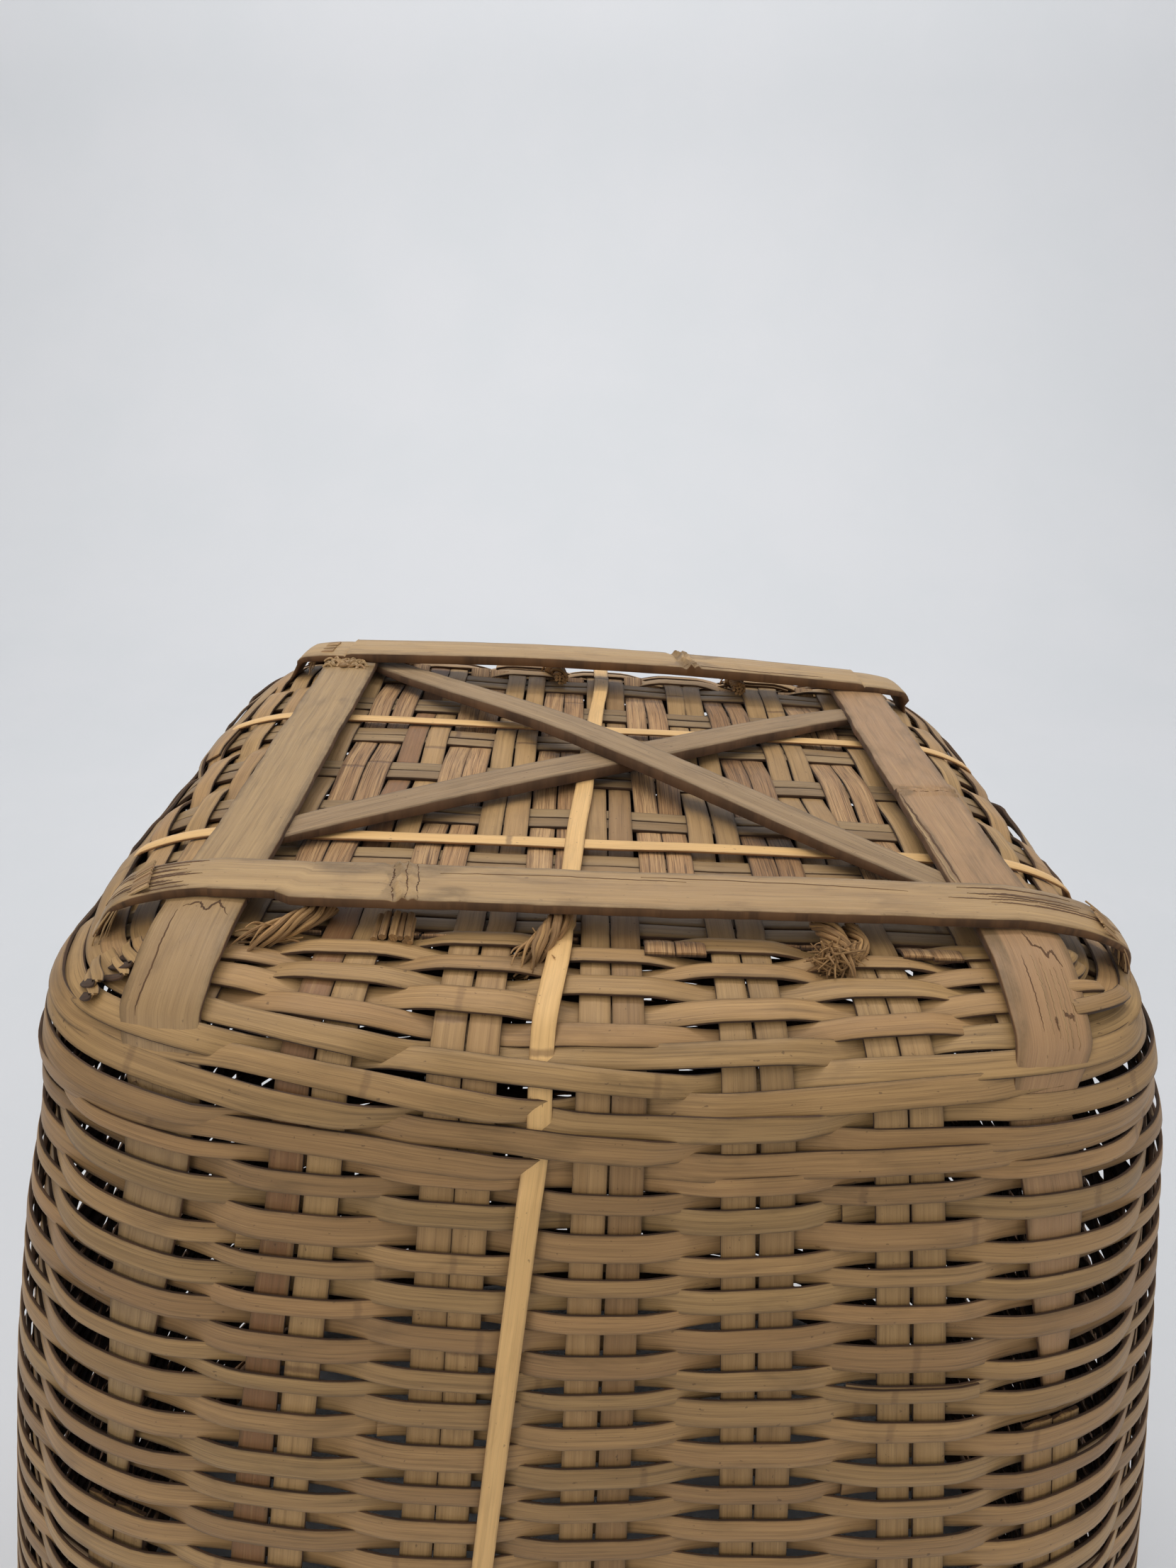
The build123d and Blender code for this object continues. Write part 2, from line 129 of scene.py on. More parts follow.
def angle_of(number, length):
    """Angle at a stake number, which may lie between two stakes, for one round."""
    side_angles = [stake_angle(place, float(length)) for place in np.arange(-3.0, 4.0)]
    whole = [side_angles[n % SIDE_STAKES] + n // SIDE_STAKES * pi / 2 for n in range(STAKES)]
    whole.append(whole[0] + 2 * pi)
    turns = np.floor(number / STAKES)
    return np.interp(number - turns * STAKES, np.arange(STAKES + 1), whole) + turns * 2 * pi


def smooth(t):
    t = np.clip(t, 0, 1)
    return t * t * (3 - 2 * t)


def lengths_along(points):
    """How far along a line each of its points is."""
    return np.concatenate([[0], np.cumsum(np.linalg.norm(np.diff(points, axis=0), axis=1))])


def wander(rng, x, scale, amount, octaves=3):
    """A smooth random line, for things that aren't quite straight or even."""
    total = np.zeros(np.shape(x))
    for i in range(octaves):
        total = total + np.sin(x / scale * 2**i * 2 * pi + rng.uniform(0, 2 * pi)) * amount / 1.7**i
    return total


# height (m) against how far the left side stands out there (m)
LEFT_HEIGHTS = (0.0, 0.20, 0.40, 0.46, 0.50, 0.53, 0.55, 0.565)
LEFT_BULGES = (0.0, 0.0065, 0.0065, 0.004, 0.0, 0.001, 0.0035, 0.0)
# and how far the right side is pressed in near the top
RIGHT_HEIGHTS, RIGHT_DENTS = (0.505, 0.53, 0.538, 0.548), (0.0, 0.0045, 0.004, 0.0)
BASE_LIFT, BASE_TILT, BASE_TWIST = 0.0031, 0.036, 0.11


def settled(verts):
    """The crooked set of an old basket: it leans, its base tilts and its left side bulges."""
    x, y, z = verts.T
    high = smooth((z - 0.25) / 0.27)
    up = high * (BASE_LIFT - x * (BASE_TILT + BASE_TWIST * y))
    left = np.interp(z, LEFT_HEIGHTS, LEFT_BULGES) * smooth((-x - 0.06) / 0.1)
    right = np.interp(z, RIGHT_HEIGHTS, RIGHT_DENTS) * smooth((x - 0.1) / 0.05)
    return np.stack([x + LEAN * z - left - right, y, z + up], -1)


# ---- meshes ----
MEASURES = ("along", "across", "tone", "hue", "skin", "edge")


def placed(name, data):
    thing = bpy.data.objects.new(name, data)
    bpy.context.scene.collection.objects.link(thing)
    return thing


class Strips:
    """Gathers strips of one piece, with the measures that its material reads."""

    def __init__(self, seed):
        self.rng = np.random.default_rng(seed)
        self.verts, self.quads, self.caps, self.values, self.count = [], [], [], [], 0

    def add(self, points, sides, width, depth, crown=0.0, relief=None, marks=None, profile=5,
            bevel=0.18, tone=None, hue=None, dark=False):
        """A strip along points, flat across sides. Width and depth may change along it.
        relief(along, across) raises the top face, and marks(along, across) darkens it.
        Gives back a function for places on the top face."""
        points, count = np.asarray(points, float), len(points)
        width = np.broadcast_to(np.asarray(width, float), count)[:, None]
        depth = np.broadcast_to(np.asarray(depth, float), count)[:, None]
        tangent = unit(np.gradient(points, axis=0))
        normal = unit(np.cross(sides, tangent))
        side = np.cross(tangent, normal)
        along = lengths_along(points)[:, None]
        flat = 1 - 2 * bevel / np.maximum(width, 4 * bevel)
        top = np.linspace(1, -1, profile)[None]
        one, half, rim = np.ones((count, 1)), np.full((count, 1), 0.5), 0.5 - bevel / depth
        a = np.hstack([-flat, 0 * flat, flat, one, one, top * flat, -one, -one])
        b = np.hstack([-half, -half, -half, -rim, rim, np.full((count, profile), 0.5), rim, -rim])
        skin = np.concatenate([np.zeros(4), [0.2], [0.85], np.ones(profile - 2), [0.85], [0.2, 0.0]])
        high = np.hstack([np.zeros(5), 1 - top[0] ** 2, np.zeros(2)])
        upper = skin > 0.1
        lift = b * depth + high * crown
        if relief is not None:
            lift = lift + relief(along, a) * upper
        grid = points[:, None] + side[:, None] * (a * width / 2)[..., None]
        grid = grid + normal[:, None] * lift[..., None]
        tone = self.rng.uniform() if tone is None else tone
        hue = self.rng.uniform() if hue is None else hue
        edge = np.abs(a)
        if marks is not None:
            edge = edge + marks(along, a) * upper
        measures = (along * MM + self.rng.uniform(0, 9), a * width / 2 * MM + tone * 3)
        # dark gives the whole strip the side colour: the dark crack lines use it for painted shade in a
        # split
        self.grid(grid, *measures, tone, hue, skin * (not dark), edge)

        def top(at, across, up=0.0):
            def mix(rows):
                return np.stack([np.interp(at, along[:, 0], rows[:, i]) for i in range(rows.shape[1])], -1)

            rise = mix(depth)[:, 0] / 2 + crown * (1 - across**2) + up
            if relief is not None:
                rise = rise + relief(at, across)
            aside = mix(side)
            spots = mix(points) + aside * (across * mix(width)[:, 0] / 2)[:, None]
            return spots + mix(normal) * rise[:, None], aside

        return top

    def grid(self, grid, *measures):
        """Faces over rows of points, with their measures; each row is one closed outline."""
        count, n = grid.shape[:2]
        rows = np.arange(count - 1)[:, None] * n
        here, after = np.arange(n)[None], (np.arange(n)[None] + 1) % n
        quads = np.stack([rows + here, rows + n + here, rows + n + after, rows + after], -1)
        self.quads.append(quads.reshape(-1, 4) + self.count)
        self.caps.append(list(range(self.count, self.count + n)))
        last = self.count + (count - 1) * n
        self.caps.append(list(range(last + n - 1, last - 1, -1)))
        self.verts.append(grid.reshape(-1, 3))
        self.values.append(np.stack(np.broadcast_arrays(*measures), -1).reshape(-1, len(MEASURES)))
        self.count += count * n

    def tube(self, points, radius, sides):
        """A round fibre or rope strand along points."""
        points, count = np.asarray(points, float), len(points)
        radius = np.broadcast_to(np.asarray(radius, float), count)
        tangent = unit(np.gradient(points, axis=0))
        guide = np.array([0.3, 0.2, 1.0]) + np.zeros_like(points)
        side = unit(np.cross(tangent, guide))
        normal = np.cross(side, tangent)
        turn = -np.arange(sides) / sides * 2 * pi
        circle = side[:, None] * np.cos(turn)[None, :, None] + normal[:, None] * np.sin(turn)[None, :, None]
        grid = points[:, None] + circle * radius[:, None, None]
        along = lengths_along(points)
        tone, hue = self.rng.uniform(), self.rng.uniform()
        across = np.arange(sides) * radius.mean() * MM + tone * 3
        self.grid(grid, along[:, None] * MM + tone * 7, across, tone, hue, 1.0, 0.4)

    def piece(self, node, slot, material, ending="bamboo"):
        """Makes the object: it rides on the basket and stands for its CAD node."""
        name = f"{node}_{ending}"
        verts, values = np.concatenate(self.verts) * MM, np.concatenate(self.values)
        verts = settled(verts)
        faces = np.concatenate(self.quads).tolist() + self.caps
        mesh = bpy.data.meshes.new(name)
        mesh.from_pydata(verts.tolist(), [], faces)
        for i, key in enumerate(MEASURES):
            attribute = mesh.attributes.new(key, "FLOAT", "POINT")
            attribute.data.foreach_set("value", values[:, i].astype(np.float32))
        mesh.materials.append(material)
        mesh.shade_smooth()
        mesh.set_sharp_from_angle(angle=SHARP_BEND)
        piece = placed(name, mesh)
        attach(piece, "root")
        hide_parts(node)


# ---- materials ----
class Graph:
    """Short calls for building a material's nodes."""

    def __init__(self, name):
        self.material = bpy.data.materials.new(name)
        self.material.use_nodes = True
        self.tree = self.material.node_tree
        self.tree.nodes.clear()

    def node(self, kind, **inputs):
        node = self.tree.nodes.new(kind)
        for key, value in inputs.items():
            self.put(node.inputs[key.replace("_", " ")], value)
        return node

    def put(self, socket, value):
        """Joins a socket to another node's output, or gives it a plain value."""
        if isinstance(value, bpy.types.NodeSocket):
            self.tree.links.new(value, socket)
        elif socket.type == "RGBA":
            socket.default_value = (*value, 1.0)
        else:
            socket.default_value = value

    def value(self, name):
        node = self.node("ShaderNodeAttribute")
        node.attribute_name = name
        return node.outputs["Fac"]

    def math(self, operation, a, b=0.0, clamp=False):
        node = self.tree.nodes.new("ShaderNodeMath")
        node.operation, node.use_clamp = operation, clamp
        self.put(node.inputs[0], a)
        self.put(node.inputs[1], b)
        return node.outputs[0]

    def vector(self, a, b, c):
        return self.node("ShaderNodeCombineXYZ", X=a, Y=b, Z=c).outputs[0]

    def noise(self, where, scales, detail=3.0, rough=0.55, distortion=0.0):
        scaled = self.tree.nodes.new("ShaderNodeVectorMath")
        scaled.operation = "MULTIPLY"
        self.tree.links.new(where, scaled.inputs[0])
        scaled.inputs[1].default_value = scales
        node = self.node("ShaderNodeTexNoise", Vector=scaled.outputs[0], Scale=1.0, Detail=detail,
                         Roughness=rough, Distortion=distortion)
        return node.outputs["Fac"]

    def fade(self, value, low, high, start=0.0, end=1.0):
        node = self.node("ShaderNodeMapRange", Value=value, From_Min=low, From_Max=high, To_Min=start,
                         To_Max=end)
        node.interpolation_type = "SMOOTHSTEP"
        return node.outputs["Result"]

    def mix(self, factor, a, b, blend="MIX"):
        node = self.tree.nodes.new("ShaderNodeMix")
        node.data_type, node.blend_type = "RGBA", blend
        for index, value in ((0, factor), (6, a), (7, b)):
            self.put(node.inputs[index], value)
        return node.outputs[2]

    def finish(self, **inputs):
        shader = self.node("ShaderNodeBsdfPrincipled", **inputs)
        self.node("ShaderNodeOutputMaterial", Surface=shader.outputs[0])
        return self.material

    def over(self, base, amount, strength, colour):
        """The base with a colour over it, as much as the amount times the strength."""
        return self.mix(self.math("MULTIPLY", amount, strength), base, colour)


def tint(red, green, blue):
    """A colour given as it looks on a screen, 0 to 255."""
    return tuple(((c / 255 + 0.055) / 1.055) ** 2.4 for c in (red, green, blue))


def shade(colour, share):
    """A darker or paler colour."""
    return tuple(min(c * share, 1) for c in colour)


STEM_NODES_PER_METRE = 3.3


def bamboo(name, pale, deep, other, fibre=0.5, mottle=0.4, side=(78, 54, 34), rough=0.52, relief=0.35,
           specks=0.5, streak=0.7, nodes=0.55, shy=0.35):
    """Split bamboo: long fibres, patches, specks, worn dark edges and a node mark here and there.
    Colours go from pale to deep along the grain, and some strips lean towards the other colour."""
    g = Graph(name)
    along, across, tone, hue = (g.value(key) for key in ("along", "across", "tone", "hue"))
    skin, edge = g.value("skin"), g.value("edge")
    where = g.vector(along, across, tone)
    fine = g.noise(where, (38.0, 2600.0, 60.0), 4.0, 0.62)
    broad = g.noise(where, (7.0, 420.0, 31.0), 3.0, 0.5)
    patch = g.noise(where, (34.0, 90.0, 17.0), 4.0, 0.6, 0.4)
    large = g.noise(where, (5.0, 9.0, 23.0), 2.0)
    spot = g.noise(where, (420.0, 640.0, 91.0), 2.0, 0.5)
    grime = g.noise(where, (90.0, 160.0, 53.0), 4.0, 0.65)
    strand = g.noise(where, (24.0, 800.0, 41.0), 3.0, 0.6)

    pale, deep, other, dark = (tint(*c) for c in (pale, deep, other, side))
    base = g.over(pale, g.fade(broad, 0.3, 0.72), streak, deep)
    base = g.over(base, g.fade(hue, shy, 1.0), 0.75, other)
    base = g.over(base, g.fade(fine, 0.46, 0.78), fibre, shade(deep, 0.42))
    base = g.over(base, g.fade(strand, 0.5, 0.75), 0.25 + fibre * 0.45, shade(deep, 0.5))
    base = g.over(base, g.fade(strand, 0.46, 0.28), 0.3, shade(pale, 1.3))
    base = g.over(base, g.fade(fine, 0.48, 0.26), fibre * 0.35, shade(pale, 1.35))
    base = g.over(base, g.fade(patch, 0.5, 0.8), mottle, shade(deep, 0.5))
    base = g.over(base, g.fade(large, 0.35, 0.75), mottle * 0.5, shade(other, 0.8))
    base = g.over(base, g.fade(spot, 0.70, 0.76), specks, tint(62, 42, 28))
    # a stem node is a thin dark line across the strip
    phase = g.math("FRACT", g.math("ADD", g.math("MULTIPLY", along, STEM_NODES_PER_METRE), tone))
    uneven = g.math("ADD", phase, g.math("MULTIPLY", grime, 0.008))
    from_node = g.math("ABSOLUTE", g.math("SUBTRACT", uneven, 0.5))
    node_line = g.fade(from_node, 0.0055, 0.0015)
    base = g.over(base, node_line, nodes, tint(84, 56, 36))
    # worn edges, and the dark fibrous sides
    base = g.over(base, g.fade(edge, 0.72, 1.0), g.fade(grime, 0.3, 0.7, 0.25, 0.8), shade(deep, 0.5))
    flank = g.mix(g.fade(fine, 0.35, 0.7), dark, shade(dark, 0.45))
    # a strip with skin 0 takes the side colour all over: on the dark crack lines this is painted shade in a
    # split
    base = g.mix(g.fade(skin, 0.75, 0.2), base, flank)
    level = g.math("ADD", g.math("MULTIPLY", tone, 0.4), 0.80)
    grey = g.node("ShaderNodeCombineColor", Red=level, Green=level, Blue=level).outputs[0]
    base = g.mix(1.0, base, grey, "MULTIPLY")

    height = g.math("ADD", g.math("MULTIPLY", fine, 0.5), g.math("MULTIPLY", strand, 0.5))
    height = g.math("SUBTRACT", height, g.math("MULTIPLY", node_line, nodes))
    bump = g.node("ShaderNodeBump", Strength=relief, Distance=0.0006, Height=height).outputs[0]
    shine = g.math("ADD", g.math("MULTIPLY", grime, 0.22), rough - 0.09)
    shine = g.math("ADD", shine, g.math("MULTIPLY", g.fade(skin, 0.8, 0.2), 0.25), clamp=True)
    return g.finish(Base_Color=base, Roughness=shine, Normal=bump, Specular_IOR_Level=0.38,
                    Sheen_Weight=0.06)


STAKE = bamboo("stake_bamboo", (168, 134, 88), (142, 109, 66), (138, 92, 58),
               fibre=0.4, streak=0.5, shy=0.7)
BASE_CROSS = bamboo("cross_bamboo", (160, 131, 90), (134, 105, 68), (142, 110, 72),
                    mottle=0.5, streak=0.5)
FILLER = bamboo("filler_bamboo", (188, 150, 104), (138, 98, 60), (156, 112, 70),
                fibre=1.5, mottle=0.35, relief=0.8)
WEFT = bamboo("weft_bamboo", (172, 137, 88), (136, 105, 64), (156, 118, 76),
              fibre=0.6, mottle=0.5, streak=0.65, nodes=0.3)
STRAP = bamboo("strap_bamboo", (174, 142, 96), (148, 117, 76), (166, 126, 88), mottle=0.6,
               side=(104, 72, 42), rough=0.45, relief=0.4, specks=0.4, streak=0.55, nodes=0.0)
BRACE = bamboo("brace_bamboo", (160, 132, 96), (136, 109, 76), (146, 118, 86), fibre=0.8, mottle=0.5,
               side=(104, 76, 52), rough=0.6, relief=0.6, nodes=0.0)
TIE = bamboo("tie_bamboo", (216, 174, 114), (196, 152, 94), (204, 160, 102), fibre=0.25, mottle=0.25,
             side=(150, 108, 66), rough=0.48, relief=0.2, streak=0.3)
FIBRE = bamboo("twisted_fibre", (176, 136, 84), (134, 96, 58), (150, 114, 74), fibre=0.9,
               side=(96, 68, 40), rough=0.7, relief=0.7)
RIM = bamboo("rim_bamboo", (164, 131, 86), (136, 104, 64), (150, 114, 74), fibre=0.4, mottle=0.45,
             side=(96, 68, 42), streak=0.5)
LASHING = bamboo("lashing_bamboo", (174, 140, 90), (144, 110, 68), (160, 122, 80), fibre=0.35, mottle=0.35,
                 side=(100, 72, 44))


# ---- stakes and fillers ----
def wall_line(angle, length, out):
    """Points down the wall, and the direction across a strip there."""
    return surface(angle, length, out), around(angle, length)[0]


def mirrored(line):
    return tuple(part * np.array([1.0, -1.0, 1.0]) for part in line)


def crosswise(line):
    return tuple(np.stack([-part[:, 1], part[:, 0], part[:, 2]], -1) for part in line)


def joined(*lines):
    return tuple(np.concatenate(parts) for parts in zip(*lines))


def flat_line(x, y, rise):
    x, y, rise = np.broadcast_arrays(x, y, rise)
    points = np.stack([x, y, WEAVE_TOP + rise], -1).astype(float)
    return points, np.broadcast_to(np.array([1.0, 0.0, 0.0]), points.shape)


FINE_STEP, FINE_LENGTH, COARSE_STEP = 3.0, 90.0, 7.0


def lengths_down(start, end):
    """Places down the wall, closer together where it bends."""
    near = np.arange(start, min(end, FINE_LENGTH), FINE_STEP)
    far = np.arange(max(start, FINE_LENGTH), end, COARSE_STEP)
    return np.concatenate([near, far, [end]])


def stake_wall(rng, place, which, base_width, lengths, edge_rise=0.0):
    """One split of a stake down the wall, and its widths."""
    width = base_width + (STAKE_WIDTH - base_width) * np.minimum(lengths / SHOULDER_LENGTH, 1.0)
    angle = stake_angle(place, lengths)
    shift = (which - 0.5) * (width + SPLIT_GAP) + wander(rng, lengths, 420, 0.25)
    angle = angle + shift / around(angle, lengths)[1]
    out = edge_rise * (1 - smooth(lengths / 16.0)) + wander(rng, lengths, 260, 0.12)
    return wall_line(angle, lengths, out), width


def stake(strips, place, base_width, wave, splices, cross):
    """A pair of splits over the base and down both walls."""
    turn = crosswise if cross else (lambda line: line)
    for which in (0, 1):
        rng = strips.rng
        end = WALE_START + 4.0 if splices else RIM_LENGTH
        lengths = lengths_down(0.0, end)
        y = np.arange(-FLAT_HALF + 2.5, FLAT_HALF - 2, 2.5)
        ripple = wave * np.cos(pi * y / BASE_PITCH)
        edge_rise = wave * cos(pi * FLAT_HALF / BASE_PITCH)
        x = place * BASE_PITCH + (which - 0.5) * (base_width + SPLIT_GAP) + wander(rng, y, 300, 0.3)
        front, width = stake_wall(rng, place, which, base_width, lengths, edge_rise)
        back, _ = stake_wall(rng, place, which, base_width, lengths, edge_rise)
        front = tuple(part[::-1] for part in front)
        line = joined(front, flat_line(x, y, ripple), mirrored(back))
        widths = np.concatenate([width[::-1], np.full(len(y), base_width), width])
        widths = widths * (0.97 + wander(rng, np.arange(len(widths)), 90, 0.02))
        points, sides = turn(line)
        tone, hue = rng.uniform(), 1.0 if place == RED_SPLIT and which == 0 else rng.uniform(0, 0.85)
        strips.add(points, sides, widths, STAKE_THICKNESS, crown=0.15, tone=tone, hue=hue)
        if splices:
            for tip, side in zip(splices, (0, 1)):
                lengths = lengths_down(tip + 4.0, RIM_LENGTH)
                part, width = stake_wall(rng, place, which, base_width, lengths)
                part = mirrored(part) if side else part
                points, sides = turn(part)
                if not side:
                    points, sides, width = points[::-1], sides[::-1], width[::-1]
                strips.add(points, sides, width, STAKE_THICKNESS, crown=0.15, tone=tone, hue=hue)


LONG_WAVE, CROSS_WAVE = -1.5, 0.35
RED_SPLIT = -2                # one stake pair has a red-brown split in it
FILLER_FRONT_ENDS = (131.0, 134.0, 130.0, 141.0, 133.0, 139.0)
side_tips = {-3: LEFT_TIPS, 3: RIGHT_TIPS}
for place in range(-3, 4):
    name = f"long_stake_{place + 4}"
    strips = Strips(100 + place)
    stake(strips, place, LONG_WIDTH_ON_BASE, LONG_WAVE, side_tips.get(place), False)
    strips.piece(name, "stake_bamboo", STAKE)
    name = f"cross_stake_{place + 4}"
    strips = Strips(120 + place)
    stake(strips, place, CROSS_WIDTH_ON_BASE, CROSS_WAVE, END_TIPS if abs(place) == 3 else None, True)
    strips.piece(name, "stake_bamboo", BASE_CROSS)

for i in range(SIDE_STAKES - 1):
    x = (i - 2.5) * BASE_PITCH
    strips = Strips(140 + i)
    for which in (0, 1):
        ends = strips.rng.uniform(-1.5, 1.5, 2)
        y = np.linspace(-FILLER_FRONT_ENDS[i] + ends[0], FLAT_HALF + 5 + 2 * ends[1], 110)
        drift = wander(strips.rng, y, 300, 0.3)
        past = np.maximum(np.abs(y) - FLAT_HALF, 0)
        rise = -LONG_WAVE * np.cos(pi * y / BASE_PITCH) * (1 - smooth(past / 8)) + 2.2 * smooth(past / 8)
        line = flat_line(x + (which - 0.5) * (LONG_WIDTH_ON_BASE + SPLIT_GAP) + drift, y, rise)
        strips.add(*line, LONG_WIDTH_ON_BASE, STAKE_THICKNESS, crown=0.2)
    strips.piece(f"base_filler_{i + 1}", "filler_bamboo", FILLER)


# ---- wefts ----
WEAVE_IN_OUT = 2.1
SAG = np.random.default_rng(7).uniform(0, 2 * pi, 12)
LAP = 0.42                    # how far a round's ends run past its start stake, in stakes
WEFT_PUSH, WALE_PUSH = 1.25, 1.2
PRESSED, PRESSED_AT_BACK = 1.09, 0.2      # wefts are pressed wider than their share of the wall
WALE_WIDTH, WALE_DROP, WALE_ROLL = 7.3, 3.6, 0.03
WALE_STRIDE = 3               # stakes from one inside place of a wale strand to the next


def sag(angle, length):
    """How far a round hangs below its even place: the same for neighbours, so they nest."""
    total = 1.6 * np.sin(2 * angle + SAG[0] + length / 160) + 1.2 * np.sin(5 * angle + SAG[1] - length / 70)
    return total + 0.7 * np.sin(9 * angle + SAG[2] + length / 45)


def pull(angle, length):
    """The rounds at the shoulder hang low along each side and ride up at the corners, most of all
    at the front left one."""
    from_left_corner = (angle + pi / 4 + pi) % (2 * pi) - pi
    amount = 5.0 * np.cos(4 * angle) - 1.0 - 5.0 * np.exp(-((from_left_corner / 0.22) ** 2))
    return amount * smooth((length - 12) / 34) * (1 - smooth((length - 90) / 130))


def round_numbers(start, end):
    """Stake numbers along a round, closer together at the four corners."""
    fine = np.arange(start, end, 0.1)
    corner = ((fine + 0.999) % SIDE_STAKES) < 1.0
    extra = fine[corner] + 0.05
    return np.sort(np.concatenate([fine, extra, [end]]))


def between(number, at_stake):
    """A measure that is known at the stakes, eased from one stake to the next."""
    whole = np.floor(number).astype(int)
    share = smooth(((number - whole) - 0.2) / 0.6)
    before, after = at_stake(whole), at_stake(whole + 1)
    return before + (after - before) * share


def weft(strips, length, width, at_stake, start, push, drop=None, roll=0.0, tone=None):
    """One round: its ends lap beside the start stake, pushed out or in so that they clear."""
    rng = strips.rng
    number = round_numbers(start - LAP, start + STAKES + LAP)
    angle = angle_of(number, length)
    out = between(number, at_stake)
    out = out + push * smooth((number - (start + STAKES - 0.85)) / 0.4)
    sagging = min(max(length - 40, 0) / 60, 1)
    place = length + sag(angle, length) * sagging + wander(rng, number, 11, 0.34)
    place = place + pull(angle, length) + (drop(number) if drop else 0.0)
    points = surface(angle, place, out)
    down = down_wall(angle, place, out)
    outward = unit(surface(angle, place, out + 1.0) - surface(angle, place, out - 1.0))
    sides = unit(down + outward * (roll * np.gradient(out, number))[:, None])
    at_back = smooth((0.3 - np.cos(angle)) / 0.6)
    widths = width * (PRESSED + PRESSED_AT_BACK * at_back + wander(rng, number, 9, 0.06))
    strips.add(points, sides, widths, WEFT_THICKNESS, crown=0.12, tone=tone)


def widths_for(rng, count, total):
    """Uneven weft widths that fill the given height."""
    widths = np.clip(rng.normal(1.0, 0.2, count), 0.6, 1.45)
    return widths * total / widths.sum()


def plain(row):
    return lambda number: WEAVE_IN_OUT * (1 - 2 * ((number + row) % 2))


def weft_rounds(name, seed, start, count, first_row):
    strips = Strips(seed)
    pitches = widths_for(strips.rng, count, WEFT_PITCH * count)
    tops = start - WEFT_PITCH / 2 + np.concatenate([[0], np.cumsum(pitches)])
    for i in range(count):
        row = first_row + i
        side = int(strips.rng.integers(0, STAKES // SIDE_STAKES))
        start_stake = side * SIDE_STAKES + int(strips.rng.integers(1, 6))
        outside = (start_stake + row) % 2 == 0
        push = WEFT_PUSH if outside else -WEFT_PUSH
        weft(strips, (tops[i] + tops[i + 1]) / 2, pitches[i], plain(row), start_stake, push)
    strips.piece(name, "weft_bamboo", WEFT)


weft_rounds("shoulder_wefts", 200, SHOULDER_START, SHOULDER_ROUNDS, 0)
for i in range(WALL_NODES):
    start = WALL_START + i * ROUNDS_PER_NODE * WEFT_PITCH
    weft_rounds(f"wall_wefts_{i + 1:02d}", 210 + i, start, ROUNDS_PER_NODE, i * ROUNDS_PER_NODE)


def wale_rounds():
    """Strands that come out past a stake, slope down over two more outside the strand below,
    and go in behind the third."""
    strips = Strips(240)
    for i in range(WALE_ROUNDS):
        def phase(number, strand=i):
            return ((number + strand) % WALE_STRIDE) / WALE_STRIDE

        def at_stake(number, strand=i):
            at_corner = (number + 1) % SIDE_STAKES <= 1
            inside = ((number + strand) % WALE_STRIDE == 0) & ~at_corner
            lift = np.where(phase(number) > 0.5, 1.25, -0.1)
            return np.where(inside, -WEAVE_IN_OUT, WEAVE_IN_OUT - 0.4 + lift)

        def drop(number, strand=i):
            share = phase(number)
            swing = 1.1 * np.sin(number * 2 * pi * 5 / STAKES + strand * 2.1)
            return swing + (share - 0.5) * WALE_DROP * smooth(share * 6) * smooth((1 - share) * 6)

        start = 2 * SIDE_STAKES + 1 + i % 5
        tone = 0.5 + 0.06 * (i % 3)
        length = WALE_START + i * WEFT_PITCH
        weft(strips, length, WALE_WIDTH, at_stake, start, WALE_PUSH, drop, WALE_ROLL, tone)
    strips.piece("wale_band", "weft_bamboo", WEFT)


wale_rounds()


# ---- straps ----
def noisy(seed, scale, amount):
    """A repeatable rough profile along a strip."""
    rng = np.random.default_rng(seed)
    phases, waves = rng.uniform(0, 2 * pi, 6), rng.uniform(0.6, 1.6, 6)

    def at(along):
        total = 0
        for i, (wave, phase) in enumerate(zip(waves, phases), 1):
            total = total + np.sin(along / scale * wave * i + phase) * amount / i
        return total

    return at


def ring(centre, skew=0.0, height=0.9):
    """Relief of a stem node: two raised lips with a groove beside them."""
    def relief(along, across):
        d = along - centre - skew * across - 0.8 * np.sin(across * 5 + centre)
        lips = np.exp(-((d / 1.0) ** 2)) + 0.8 * np.exp(-(((d + 3.4) / 0.9) ** 2))
        return height * lips - 0.5 * height * np.exp(-(((d - 2.6) / 1.3) ** 2))

    return relief


